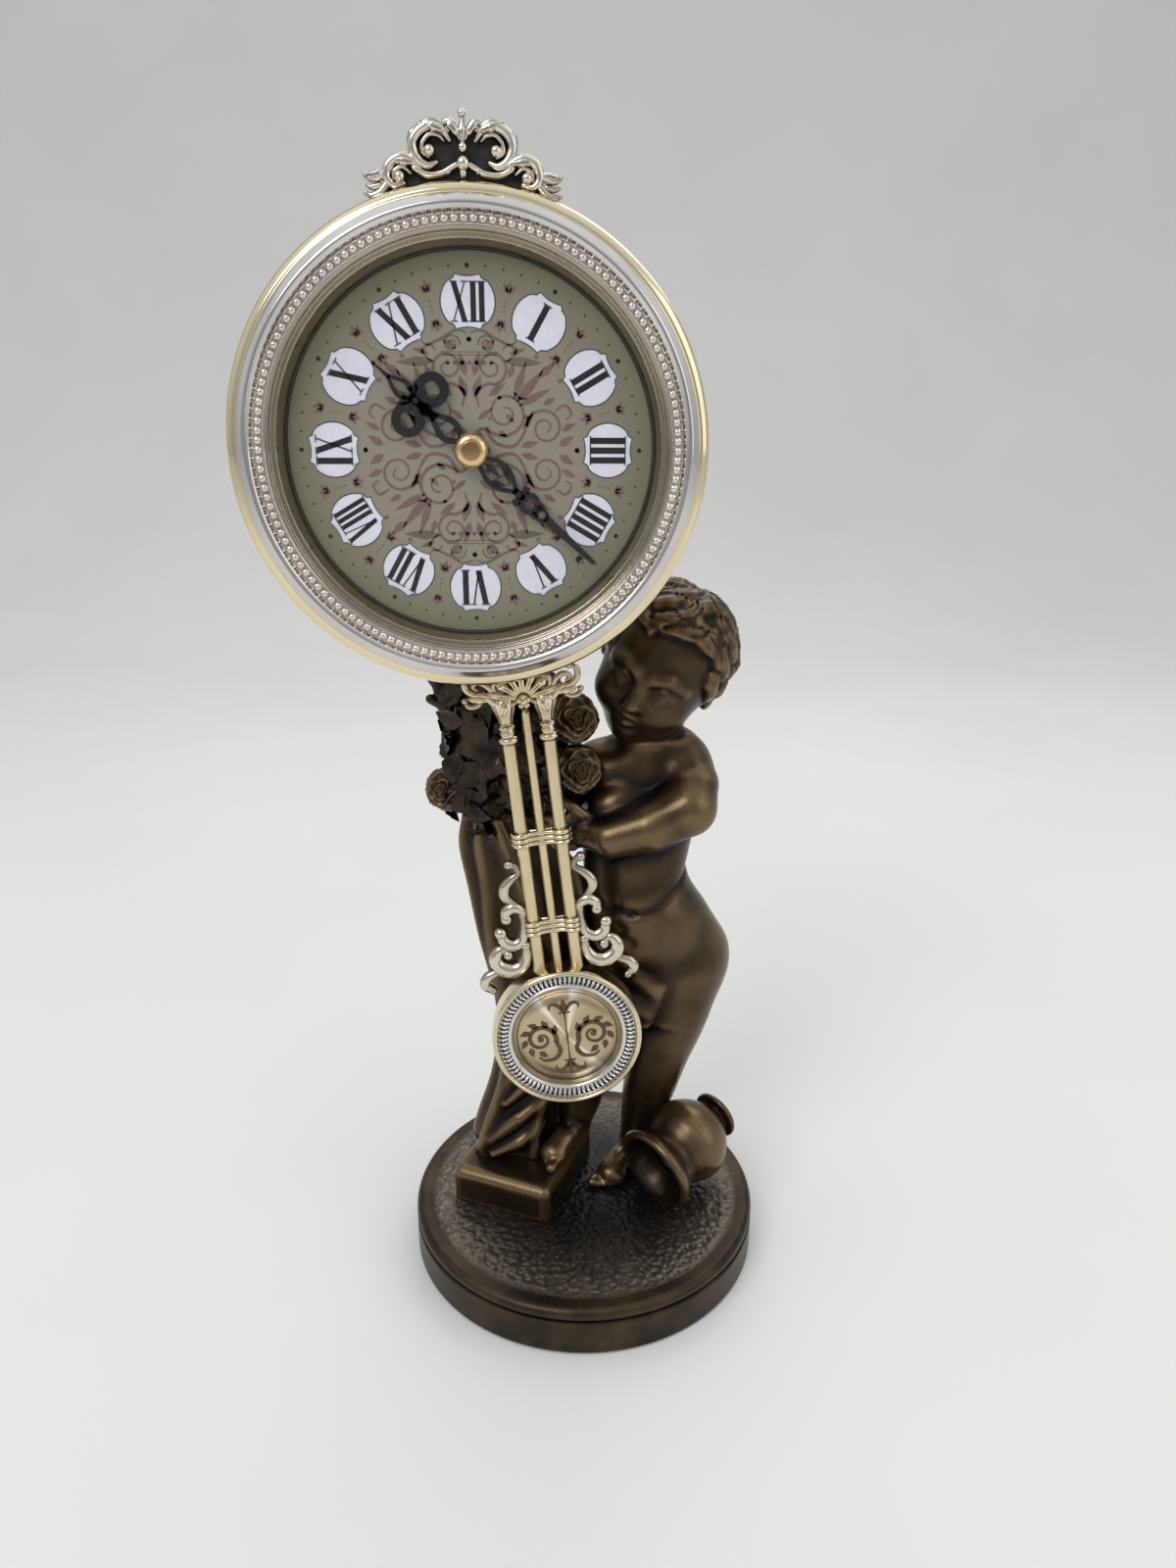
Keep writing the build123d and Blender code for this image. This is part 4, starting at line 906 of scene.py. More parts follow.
def turned_over(faces):
    """Faces seen from behind, each still from its own first corner."""
    return [(face[0], *face[:0:-1]) for face in faces]


def bands(rows, turns, first=0, closed=False):
    """Quads from each round row of points to the next, and from the last to the first if closed."""
    faces = []
    for row in range(rows if closed else rows - 1):
        a, b = first + row * turns, first + (row + 1) % rows * turns
        for turn in range(turns):
            nxt = (turn + 1) % turns
            faces.append((a + turn, a + nxt, b + nxt, b + turn))
    return faces


def sheet(rows, across):
    """Quads of an open grid."""
    corners = [r * across + c for r in range(rows - 1) for c in range(across - 1)]
    return [(a, a + 1, a + across + 1, a + across) for a in corners]


def facing_out(vertices, faces):
    """Turn all faces over if the closed shape's volume is negative."""
    vertices = np.array(vertices, float)
    volume = 0.0
    for face in faces:
        for b, c in zip(face[1:-1], face[2:]):
            volume += np.dot(vertices[face[0]], np.cross(vertices[b], vertices[c]))
    return vertices, faces if volume > 0 else turned_over(faces)


def capped(rows, turns, first, last):
    """A closed shape from round rows of points between two end points."""
    end = len(rows) + 1
    faces = bands(len(rows) // turns, turns, 1)
    for turn in range(turns):
        nxt = (turn + 1) % turns
        faces.append((0, 1 + nxt, 1 + turn))
        faces.append((end, end - turns + turn, end - turns + nxt))
    return facing_out([first, *rows, last], faces)


def lathe(outline, turns):
    """Turn a closed outline of (radius, n) about the n axis."""
    vertices = [(*p, level) for radius, level in outline for p in circle(radius, turns)]
    return facing_out(vertices, bands(len(outline), turns, closed=True))


def dish(profile, turns):
    """Turn an open profile of (radius, n) that starts on the axis: a face seen from the front."""
    vertices = [(0, 0, profile[0][1])]
    vertices += [(*p, level) for radius, level in profile[1:] for p in circle(radius, turns)]
    faces = [(0, 1 + turn, 1 + (turn + 1) % turns) for turn in range(turns)]
    return np.array(vertices), faces + turned_over(bands(len(profile) - 1, turns, 1))


def tube(path, radii, sides, flat=1.0):
    """A round bar with closed ends along a path (x, y, n), thinned or swelled by its radii."""
    rows = np.column_stack([path, np.broadcast_to(radii, len(path))])
    rows = smooth_rows(rows, 6 * len(rows))
    places, radii = rows[:, :3], np.abs(rows[:, 3])
    ways = np.gradient(places, axis=0)
    ways /= np.linalg.norm(ways, axis=1)[:, None] + 1e-9
    up = np.array([0, 0, 1.0])
    side = np.cross(up, ways)
    side /= np.linalg.norm(side, axis=1)[:, None] + 1e-9
    caps = [(-0.9, 0.45), (-0.6, 0.8)]
    rings = [(places[0] + ways[0] * radii[0] * k, side[0], radii[0] * w) for k, w in caps]
    rings += list(zip(places, side, radii))
    rings += [(places[-1] - ways[-1] * radii[-1] * k, side[-1], radii[-1] * w) for k, w in reversed(caps)]
    vertices = []
    for place, across, radius in rings:
        vertices += [place + across * a + up * flat * b for a, b in circle(radius, sides)]
    last = (len(rings) - 1) * sides
    ends = [tuple(range(sides))[::-1], tuple(range(last, last + sides))]
    return facing_out(vertices, bands(len(rings), sides) + ends)


def curl(centre, start_radius, end_radius, start, end, count):
    """Points of a spiral arc, angles in degrees from +x, anticlockwise."""
    angles = np.radians(np.linspace(start, end, count))
    radii = np.linspace(start_radius, end_radius, count)
    return [(centre[0] + r * math.cos(a), centre[1] + r * math.sin(a)) for a, r in zip(angles, radii)]


def bead(centre, radius, rows=7, turns=12):
    places = []
    for polar in np.arange(1, rows) * math.pi / rows:
        places += [(*p, -math.cos(polar)) for p in circle(math.sin(polar), turns)]
    vertices, faces = capped(places, turns, (0, 0, -1), (0, 0, 1))
    return vertices * radius + np.array(centre, float), faces


def slice_of(outline, low, high):
    """A flat slice with the given outline (x, y)."""
    outline = np.array(outline, float)
    count = len(outline)
    ahead = np.roll(outline, -1, axis=0)
    if np.sum(outline[:, 0] * ahead[:, 1] - ahead[:, 0] * outline[:, 1]) < 0:
        outline = outline[::-1]
    vertices = [(*p, level) for level in (low, high) for p in outline]
    ends = [tuple(range(count))[::-1], tuple(range(count, 2 * count))]
    return np.array(vertices), ends + bands(2, count)


def ribbon(path, widths, low, high, closed=False):
    """A flat strip along a path (x, y), as wide as given at each point."""
    rows = np.column_stack([path, np.broadcast_to(widths, len(path))])
    if closed:
        ways = np.roll(rows[:, :2], -1, 0) - np.roll(rows[:, :2], 1, 0)
    else:
        rows = smooth_rows(rows, 3 * len(rows))
        ways = np.gradient(rows[:, :2], axis=0)
    ways /= np.linalg.norm(ways, axis=1)[:, None] + 1e-9
    side = np.stack([-ways[:, 1], ways[:, 0]], axis=1) * np.abs(rows[:, 2:3]) / 2
    vertices = []
    for a, b in zip(rows[:, :2] + side, rows[:, :2] - side):
        vertices += [(*a, low), (*b, low), (*b, high), (*a, high)]
    faces = bands(len(rows), 4, closed=closed)
    if not closed:
        faces += [(3, 2, 1, 0), tuple(4 * (len(rows) - 1) + n for n in range(4))]
    return facing_out(vertices, faces)


def leaf(base, tip, width, level, height, lobes, rows, across):
    """A carved acanthus leaf: lobed edge, rolled sides and a sunk midrib."""
    base, tip = np.array(base, float), np.array(tip, float)
    way = tip - base
    side = np.array([-way[1], way[0]]) / np.linalg.norm(way)
    top, bottom = [], []
    for u in np.linspace(0.0, 1.0, rows):
        half = width / 2 * (math.sin(math.pi * min(u * 0.92 + 0.08, 1)) ** 0.8)
        half *= 1 + 0.22 * math.sin(2 * math.pi * lobes * u)
        for v in np.linspace(-1, 1, across):
            place = base + way * u + side * half * v
            dome = height * (math.sin(math.pi * (0.15 + 0.8 * u)) * (1 - v * v) + 0.15)
            rib = 0.35 * height * math.exp(-(v / 0.18) ** 2)
            vein = 0.12 * height * math.sin(2 * math.pi * (lobes * u - 0.8 * abs(v)))
            top.append((*place, level + dome - rib + vein * (1 - abs(v))))
            bottom.append((*place, level))
    count = rows * across
    quads = sheet(rows, across)
    faces = [tuple(count + n for n in quad) for quad in quads] + turned_over(quads)
    rim = list(range(across))
    rim += [r * across + across - 1 for r in range(1, rows)]
    rim += [(rows - 1) * across + c for c in range(across - 2, -1, -1)]
    rim += [r * across for r in range(rows - 2, 0, -1)]
    faces += [(a, b, count + b, count + a) for a, b in zip(rim, rim[1:] + rim[:1])]
    return facing_out(bottom + top, faces)


def form_tree(name, sockets):
    """A Geometry Nodes group: its tree, its inputs' identifiers by name, and its input node."""
    tree = bpy.data.node_groups.new(name, "GeometryNodeTree")
    inputs = {}
    for socket, kind in sockets.items():
        made = tree.interface.new_socket(socket, in_out="INPUT", socket_type="NodeSocket" + kind)
        inputs[socket] = made.identifier
    tree.interface.new_socket("Geometry", in_out="OUTPUT", socket_type="NodeSocketGeometry")
    return tree, inputs, tree.nodes.new("NodeGroupInput")


def copy_forms(tree, given, points, turn, size=None):
    """The end of a group: copies of its Form on points, made real and dressed in its Finish."""
    nodes, links = tree.nodes, tree.links
    form, copies = nodes.new("GeometryNodeObjectInfo"), nodes.new("GeometryNodeInstanceOnPoints")
    real, dress = nodes.new("GeometryNodeRealizeInstances"), nodes.new("GeometryNodeSetMaterial")
    links.new(given.outputs["Form"], form.inputs["Object"])
    links.new(points, copies.inputs["Points"])
    links.new(form.outputs["Geometry"], copies.inputs["Instance"])
    links.new(turn, copies.inputs["Rotation"])
    if size:
        links.new(size, copies.inputs["Scale"])
    links.new(copies.outputs[0], real.inputs[0])
    links.new(real.outputs[0], dress.inputs["Geometry"])
    links.new(given.outputs["Finish"], dress.inputs["Material"])
    links.new(dress.outputs[0], nodes.new("NodeGroupOutput").inputs[0])


def ring_tree():
    """Geometry Nodes: copies of one form set evenly round the n axis."""
    tree, inputs, given = form_tree("ring_of_forms", {
        "Form": "Object", "Count": "Int", "Radius": "Float", "Start": "Float", "Finish": "Material"})
    nodes, links = tree.nodes, tree.links

    def reckon(operation, a, b):
        node = nodes.new("ShaderNodeMath")
        node.operation = operation
        for socket, value in zip(node.inputs, (a, b)):
            feed(tree, socket, value)
        return node.outputs[0]

    points = nodes.new("GeometryNodePoints")
    place, turn = nodes.new("ShaderNodeCombineXYZ"), nodes.new("ShaderNodeCombineXYZ")
    share = reckon("DIVIDE", nodes.new("GeometryNodeInputIndex").outputs[0], given.outputs["Count"])
    angle = reckon("ADD", reckon("MULTIPLY", share, 2 * math.pi), given.outputs["Start"])
    for axis, operation in (("X", "COSINE"), ("Y", "SINE")):
        reach = reckon("MULTIPLY", reckon(operation, angle, 0.0), given.outputs["Radius"])
        links.new(reach, place.inputs[axis])
    links.new(angle, turn.inputs["Z"])
    links.new(given.outputs["Count"], points.inputs["Count"])
    links.new(place.outputs[0], points.inputs["Position"])
    copy_forms(tree, given, points.outputs[0], turn.outputs[0])
    return tree, inputs


def ring_of(name, form, count, radius, start, seat, finish, body, smooth=True):
    """A piece made of copies of a form (drawn in x, y, n) round the seat's n axis."""
    values = {"Count": count, "Radius": float(radius), "Start": float(start), "Finish": finish}
    made = grown_mesh(name, ring_nodes, values, new_object(name + "_form", *form, smooth))
    places = seat(read(made.data.vertices, "co", 3)) * MM
    made.data.vertices.foreach_set("co", places.ravel())
    made.data.update()
    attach(made, body)
    return made


# Case, dial and hands

# Places on the pendulum, from its pivot, and the hands' turns at 10:22
bob_drop = 212.0
rod_level = 2.0
rod_spacing = 5.75
clamp_drops = (146.4, 175.0)
hour_angle = math.radians((10 + 22 / 60) * 30)
minute_angle = math.radians(22 * 6)
half_hour = math.radians(15)
hand_thickness = 0.5

# Radii of the numerals' middles, the dots round the edge and the dial itself, and the levels of its print
numeral_radius = 33.4
dot_radius = 41.2
dial_radius = 45.95
PRINT = (0.01, 0.05)


def bezel():
    """Gilt bezel: rolled lip, polished bevel, bead seat and a wall down to the dial."""
    r = bezel_radius
    outline = [
        (44.8, 0.05), (46.0, 6.1), (47.45, 6.15), (47.5, 7.6), (48.3, 7.75), (48.45, 8.25), (50.8, 8.3),
        (51.05, 8.5), (51.5, 9.6), (52.4, 10.0), (53.1, 9.95), (54.9, 8.1), (55.05, 7.6), (55.9, 7.5),
        (57.0, 6.8), (r, 5.7), (r, 3.9), (57.0, 3.6), (57.0, 3.1), (r, 2.8), (r, -3.0), (52.2, -3.0),
        (52.2, -0.9), (46.2, -0.9), (46.2, 0.0),
    ]
    work = Batch().add(lathe(rounded(outline, 0.35), 256))
    made = work.piece("gilt_bezel", on_dial, bezel_plate, "stand", "polished_gold")
    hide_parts("bezel")


def beads():
    made = ring_of("bezel_beads", bead((0, 0, 8.55), 1.07, 8, 14), 144, 49.6, 0.0, on_dial, bead_silver,
                   "stand")
    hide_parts("bead_ring")


def dial_print(work, name, ink):
    work.piece(name, on_dial, ink, "stand", "dial", smooth=False)


def dial_ring(name, form, count, radius, start, ink):
    ring_of(name, form, count, radius, start, on_dial, ink, "stand", smooth=False)


def dial_face():
    """Champagne dial plate with a fine black ring at its edge."""
    profile = [(0, -0.02), (12, 0.0), (30, 0.0), (44.5, 0.0), (dial_radius, 0.0), (dial_radius, -0.75)]
    made = Batch().add(dish(profile, 160)).piece("dial_face", on_dial, dial_gold, "stand", "dial")
    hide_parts("dial_plate")
    edge = Batch((0.0, 0.06))
    edge.ring((0, 0), 44.75, 44.3, 160)
    dial_print(edge, "dial_edge_ring", ink_black)


def minute_dots():
    for name, count, radius in (("minute_dots", 60, 0.28), ("hour_dots", 12, 0.55)):
        dial_ring(name, slice_of(circle(radius, 10), *PRINT), count, dot_radius, 0.0, ink_black)


def cartouche(grow):
    """Numeral field: a circle whose inner and outer ends are drawn in to two corners with a dip between."""
    radius, height, corner_x = 6.6 + grow, 6.15 + grow, 3.0 + 0.5 * grow
    turns = np.radians(np.linspace(-44, 44, 17))
    side = [(corner_x, -height), (corner_x + 0.4, 0.88 - height)]
    side += [(radius * math.cos(a), radius * math.sin(a)) for a in turns]
    side += [(corner_x + 0.4, height - 0.88), (corner_x, height)]
    end = [(t * corner_x, height - 0.45 * (1 - t * t)) for t in (0.6, 0.2, -0.2, -0.6)]
    half = side + end
    return half + [(-x, -y) for x, y in half]


def numeral_strokes(text, size):
    """Roman numeral as bold and fine strokes with hairline feet, centred on the origin."""
    bold, fine, foot = 1.5, 0.42, 0.34
    widths = {"I": 2.3, "V": 5.0, "X": 5.2}
    total = sum(widths[c] for c in text)
    squeeze = min(1.0, size / total)
    top = size / 2
    shapes = []

    def bar(x0, x1, thick, y0=-top, y1=top):
        half = thick / 2
        shapes.append([(x0 - half, y0), (x0 + half, y0), (x1 + half, y1), (x1 - half, y1)])

    def serif(x, wide, y):
        bar(x, x, wide, y - foot / 2, y + foot / 2)

    left = -total / 2
    for c in text:
        w = widths[c]
        x = left + w / 2
        if c == "I":
            bar(x, x, bold)
            serif(x, w, top)
            serif(x, w, -top)
        elif c == "V":
            bar(x + 0.35, x - w * 0.28, bold)
            bar(x + 0.3, x + w * 0.33, fine)
            serif(x - w * 0.28, 2.4, top)
            serif(x + w * 0.33, 1.5, top)
        else:
            bar(x + w * 0.27, x - w * 0.27, bold)
            bar(x - w * 0.3, x + w * 0.3, fine)
            for side in (-1, 1):
                serif(x + side * w * 0.28, 1.9, top)
                serif(x + side * w * 0.28, 1.9, -top)
        left += w
    return [[(x * squeeze, y) for x, y in shape] for shape in shapes]


def turned_to_hour(points, hour):
    """Move points drawn upright at the origin to an hour's place, tops outwards."""
    angle = math.radians(hour * 30)
    out = np.array([math.sin(angle), math.cos(angle)])
    across = np.array([math.cos(angle), -math.sin(angle)])
    return [tuple(out * (numeral_radius + y) + across * x) for x, y in points]


def numerals():
    texts = ("XII", "I", "II", "III", "IIII", "V", "VI", "VII", "VIII", "IX", "X", "XI")
    rims, fields, strokes = Batch((0.01, 0.03)), Batch((0.02, 0.06)), Batch((0.05, 0.09))
    for hour, text in enumerate(texts):
        rims.plate(turned_to_hour(cartouche(0.0), hour))
        fields.plate(turned_to_hour(cartouche(-0.3), hour))
        for shape in numeral_strokes(text, 8.6):
            strokes.plate(turned_to_hour(shape, hour))
    dial_print(rims, "numeral_rims", ink_navy)
    dial_print(fields, "numeral_fields", enamel_white)
    dial_print(strokes, "numerals", ink_black)


def petal(base, tip, width):
    """Flat pointed leaf from base to tip."""
    base, tip = np.array(base, float), np.array(tip, float)
    way = tip - base
    side = np.array([-way[1], way[0]]) / np.linalg.norm(way) * width / 2
    rise = [(0.0, 0.0), (0.25, 0.8), (0.45, 1.0), (0.75, 0.55), (1.0, 0.0)]
    one = [base + way * u + side * v for u, v in rise]
    other = [base + way * u - side * v for u, v in rise[1:-1]][::-1]
    return one + other


def arabesque():
    """Printed scrolls and leaves in the middle of the dial, one quarter drawn and turned over."""
    vine_weight, leaf_weight = 1.4, 1.3
    vines = [
        (curl((8.2, 8.6), 5.6, 1.1, 215, 830, 40), np.linspace(0.62, 0.3, 40)),
        (curl((18.0, 5.2), 4.6, 0.9, 175, -420, 36), np.linspace(0.55, 0.28, 36)),
        (curl((5.2, 19.0), 4.0, 0.8, -80, 480, 36), np.linspace(0.55, 0.28, 36)),
        ([(0.2, 3.0), (2.4, 5.0), (4.0, 4.2), (6.0, 1.6), (10.5, 1.0), (13.4, 5.0)],
         (0.3, 0.6, 0.7, 0.6, 0.6, 0.4)),
        ([(2.0, 10.0), (1.5, 13.5), (4.2, 15.2), (6.0, 15.1)], (0.3, 0.55, 0.6, 0.4)),
        ([(10.5, 13.4), (12.0, 12.0), (13.6, 12.0)], (0.3, 0.5, 0.4)),
        ([(20.5, 9.2), (23.0, 10.5), (24.4, 8.4), (23.0, 7.2)], (0.3, 0.5, 0.4, 0.3)),
        ([(9.0, 20.2), (11.2, 22.6), (9.2, 24.0), (8.0, 22.8)], (0.3, 0.5, 0.4, 0.3)),
    ]
    sprigs = [
        ((11.0, 11.0), (17.8, 18.6), 1.8), ((11.5, 10.2), (19.6, 14.4), 1.5),
        ((10.4, 11.6), (13.6, 20.4), 1.5), ((16.5, 16.9), (20.6, 20.0), 1.6),
        ((12.6, 4.6), (15.2, 9.4), 1.3), ((4.3, 12.4), (8.6, 15.6), 1.3),
        ((0.9, 12.0), (2.6, 17.4), 1.6), ((0.9, 17.0), (2.4, 22.4), 1.5), ((1.6, 7.0), (5.2, 9.8), 1.1),
        ((8.4, 8.4), (10.6, 6.4), 1.0), ((12.0, 0.9), (16.4, 2.0), 1.3), ((21.4, 1.0), (25.0, 3.4), 1.5),
        ((22.0, 4.6), (25.6, 6.4), 1.2), ((3.0, 23.0), (6.4, 25.2), 1.2), ((6.6, 4.6), (8.8, 3.0), 1.0),
        ((17.6, 10.6), (20.6, 12.2), 1.2), ((9.4, 16.6), (10.6, 19.8), 1.2),
    ]
    dots = [
        (0.0, 25.2, 0.6), (25.8, 0.0, 0.6), (13.4, 7.8, 0.5), (7.0, 12.2, 0.5), (21.6, 16.0, 0.55),
        (16.0, 21.4, 0.55), (4.6, 7.4, 0.45), (3.4, 1.6, 0.5),
    ]
    quarter = Batch(PRINT)
    for path, widths in vines:
        quarter.strip(path, vine_weight * np.array(widths))
    for base, tip, width in sprigs:
        quarter.plate(petal(base, tip, leaf_weight * width))
    for x, y, radius in dots:
        quarter.plate(circle(radius, 12, (x, y)))
    quarter.mirrored((-1, 1), (1, -1), (-1, -1))
    dial_print(quarter, "dial_arabesque", print_mauve)


def dial_crests():
    """Above and below the arabesque: a scrolled arch, two horn leaves and fine rules."""
    arch = [(0.3, 26.6), (3.0, 27.2), (6.4, 25.4), (9.8, 24.0), (11.2, 24.8)]
    work = Batch(PRINT)
    for side in (-1, 1):
        work.strip(sided(curl((4.2, 24.2), 2.1, 0.6, 190, -330, 26), side), 0.42)
        work.strip(sided(arch, side), (0.3, 0.6, 0.7, 0.5, 0.25))
        work.plate(sided(petal((8.2, 20.4), (17.6, 20.0), 2.3), side))
        work.plate(sided(petal((9.6, 22.0), (13.6, 23.2), 1.2), side))
    for level, half in ((22.4, 7.0), (21.7, 6.4)):
        work.strip([(-half, level), (0, level), (half, level)], 0.22)
    for x in np.linspace(-5.2, 5.2, 7):
        work.plate([(x - 0.62, 20.0), (x, 19.3), (x + 0.62, 20.0), (x, 20.7)])
    work.mirrored((1, -1))
    dial_print(work, "dial_crests", print_olive)


def dial_sprigs():
    """Small three-lobed leaves with dots, between the numeral fields."""
    sprig = Batch(PRINT)
    sprig.plate(petal((0, -1.4), (0, 1.7), 1.5))
    for side in (1, -1):
        sprig.plate(petal((0, -0.9), (side * 1.6, 0.9), 1.0))
        sprig.plate(petal((0, -0.8), (side * 1.3, -0.9), 0.7))
    for radius, flip in ((37.6, 1), (29.2, -1)):
        points = [(flip * y, x, n) for x, y, n in sprig.vertices]
        faces = sprig.faces if flip < 0 else turned_over(sprig.faces)
        dial_ring("sprigs_%d" % round(radius), (points, faces), 12, radius, half_hour, print_mauve)
    dot = slice_of(circle(0.3, 8), *PRINT)
    for radius in (32.4, 33.5, 34.6):
        dial_ring("sprig_dots_%d" % round(radius * 10), dot, 12, radius, half_hour, print_mauve)


def on_hand(angle, level):
    """Seat for a hand drawn along +y, one unit thick: turned to its angle, at its own level over the dial."""
    c, s = math.cos(angle), math.sin(angle)

    def seat(p):
        x, y = p[:, 0] * c + p[:, 1] * s, p[:, 1] * c - p[:, 0] * s
        return on_dial(np.stack([x, y, level + p[:, 2] * hand_thickness], axis=1))

    return seat


def hour_hand():
    hand = Batch()
    hand.ring((0, 0), 3.7, 2.0)
    for side in (-1, 1):
        hand.strip(sided([(0, 3), (2.2, 6.4), (1.7, 9.4), (0, 12.6)], side), (1.2, 1.5, 1.4, 1.0))
        hand.ring((side * 4.5, 15.9), 4.1, 1.9)
        hand.plate(sided([(0.6, 17.6), (2.6, 18.6), (3.8, 20.4), (2.2, 20.0), (0.8, 20.6)], side))
        hand.strip(sided([(0, 18), (1.75, 20.8), (1.2, 23.2), (0, 25.6)], side), (1.0, 1.1, 1.0, 0.8))
    hand.strip([(0, 11), (0, 15), (0, 19)], (2.6, 1.8, 2.4))
    hand.plate(petal((0, 12), (0, 17), 3.2))
    hand.strip([(0, 25), (0, 27.5), (0, 30)], (1.2, 0.7, 0.5))
    hand.plate(circle(0.55, 12, (0, 29.9)))
    made = hand.piece("hour_hand_pierced", on_hand(hour_angle, 1.7), hand_black, "hour_work", "hand_black",
                      smooth=False)
    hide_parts("hour_hand")


def minute_hand():
    hand = Batch()
    hand.ring((0, 0), 3.7, 1.0)
    for side in (-1, 1):
        hand.strip(sided([(0.6, 3.2), (2.5, 6.4), (2.6, 9.6), (1.4, 12.4), (0, 14.6)], side),
                   (1.0, 1.2, 1.3, 1.2, 0.9))
        hand.plate(sided(petal((2.2, 8.0), (0.5, 12.0), 1.2), side))
        hand.plate(sided([(0.5, 15.4), (2.5, 15.0), (3.0, 16.4), (1.6, 17.2)], side))
        hand.plate(sided([(0.4, 20.6), (2.0, 20.8), (2.3, 22.0), (0.8, 22.2)], side))
    hand.plate(petal((0, 4.0), (0, 9.6), 1.5))
    hand.strip([(0, 13.6), (0, 15.2), (0, 17)], (1.6, 2.0, 1.4))
    hand.ring((0, 18.7), 2.75, 1.25)
    hand.ring((0, 22.8), 1.75, 0.8)
    hand.strip([(0, 24), (0, 26), (0, 34), (0, 40.4)], (2.4, 2.0, 1.6, 1.1))
    made = hand.piece("minute_hand_pierced", on_hand(minute_angle, 3.2), hand_black, "minute_work",
                      "hand_black", smooth=False)
    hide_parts("minute_hand")


def hub():
    cap = [(0, 5.25), (1.6, 5.3), (2.55, 5.4), (2.8, 5.35), (4.15, 4.4), (4.2, 3.75), (3.9, 3.7)]
    work = Batch().add(dish(cap, 64))
    made = work.piece("hub_cap_turned", on_dial, hub_gold, "minute_work", "polished_gold")
    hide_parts("hub_cap")
    disc = [(0, 5.42), (2.0, 5.46), (2.3, 5.4), (2.35, 5.2)]
    Batch().add(dish(disc, 48)).piece("hub_disc", on_dial, hub_copper, "minute_work", "polished_gold")


# One side of the crest, from the top of the bezel. Scrolls: points, radii and thickness over width
crest_scrolls = [
    ([(2.9, 8.3), (4.4, 10.2), (6.9, 11.2), (9.8, 9.9), (11.2, 7.4), (10.2, 4.6), (8.0, 3.2), (6.0, 3.9)],
     (0.5, 0.95, 1.15, 1.2, 1.15, 1.1, 0.95, 0.6), 1.4),
    ([(4.2, 8.2), (5.4, 9.2), (7.4, 9.3), (8.9, 7.7), (8.9, 5.9), (7.6, 5.0)],
     (0.35, 0.55, 0.6, 0.6, 0.6, 0.5), 1.8),
    ([(9.3, 1.7), (10.8, 3.8), (13.6, 4.9), (16.4, 3.5), (17.2, 0.9), (15.6, -0.9), (13.4, -0.4)],
     (0.6, 0.95, 1.15, 1.15, 1.05, 0.9, 0.6), 1.4),
    ([(11.8, 1.7), (13.6, 2.9), (15.4, 1.9), (15.6, 0.4)], (0.4, 0.6, 0.6, 0.4), 1.8),
    ([(16.2, 2.8), (18.6, 1.0), (20.6, 0.5), (21.9, 1.2)], (0.9, 1.0, 0.8, 0.5), 1.2),
    ([(17.2, -0.6), (18.6, -2.2), (20.4, -2.9), (21.8, -2.5)], (0.9, 0.95, 0.8, 0.5), 1.2),
    ([(18.6, -0.8), (20.4, -1.2), (21.6, -0.9)], (0.7, 0.7, 0.4), 1.2),
    ([(0.4, 4.1), (2.4, 3.0), (5.0, 1.7), (8.0, 1.4), (10.6, 2.5), (11.6, 3.6)],
     (0.7, 0.8, 0.8, 0.8, 0.8, 0.5), 1.6),
    ([(0.5, 8.6), (1.6, 10.6), (3.0, 12.0), (4.9, 11.4)], (0.5, 0.85, 0.9, 0.45), 1.3),
    ([(3.6, 9.6), (4.8, 11.4), (6.8, 12.2), (9.0, 11.4), (10.8, 9.9)], (0.4, 0.7, 0.75, 0.75, 0.5), 1.3),
    ([(10.0, 10.6), (11.2, 9.6), (11.9, 8.2)], (0.7, 0.8, 0.5), 1.2),
]

# Its leaves: base, tip, width, level, height, lobes and rows. Its knobs: place and radius
crest_leaves = [
    ((1.0, 9.2), (3.6, 12.6), 1.9, 0.4, 1.1, 2, 9), ((4.0, 9.9), (9.4, 11.9), 2.0, 0.8, 1.1, 3, 11),
    ((10.6, 3.6), (16.4, 4.2), 1.8, 0.9, 0.9, 3, 11), ((17.4, 1.6), (21.7, 0.9), 1.7, 0.5, 0.9, 3, 9),
]
crest_knobs = [(7.4, 6.2, 1.35), (14.3, 0.9, 1.35), (3.4, 2.2, 0.8), (21.9, 1.2, 0.6), (21.8, -2.5, 0.6)]
crest_outline = [
    (0, 10.6), (3.4, 10.4), (6.9, 10.8), (9.4, 9.4), (10.6, 7.2), (10.0, 4.8), (10.9, 3.8), (13.6, 4.4),
    (16.0, 3.1), (16.6, 0.8), (15.2, -1.2), (11.0, -0.6), (5.0, 0.2),
]
crest_level = 3.2


def on_crest(p):
    return on_dial(np.asarray(p, float) + (0, bezel_radius, crest_level))


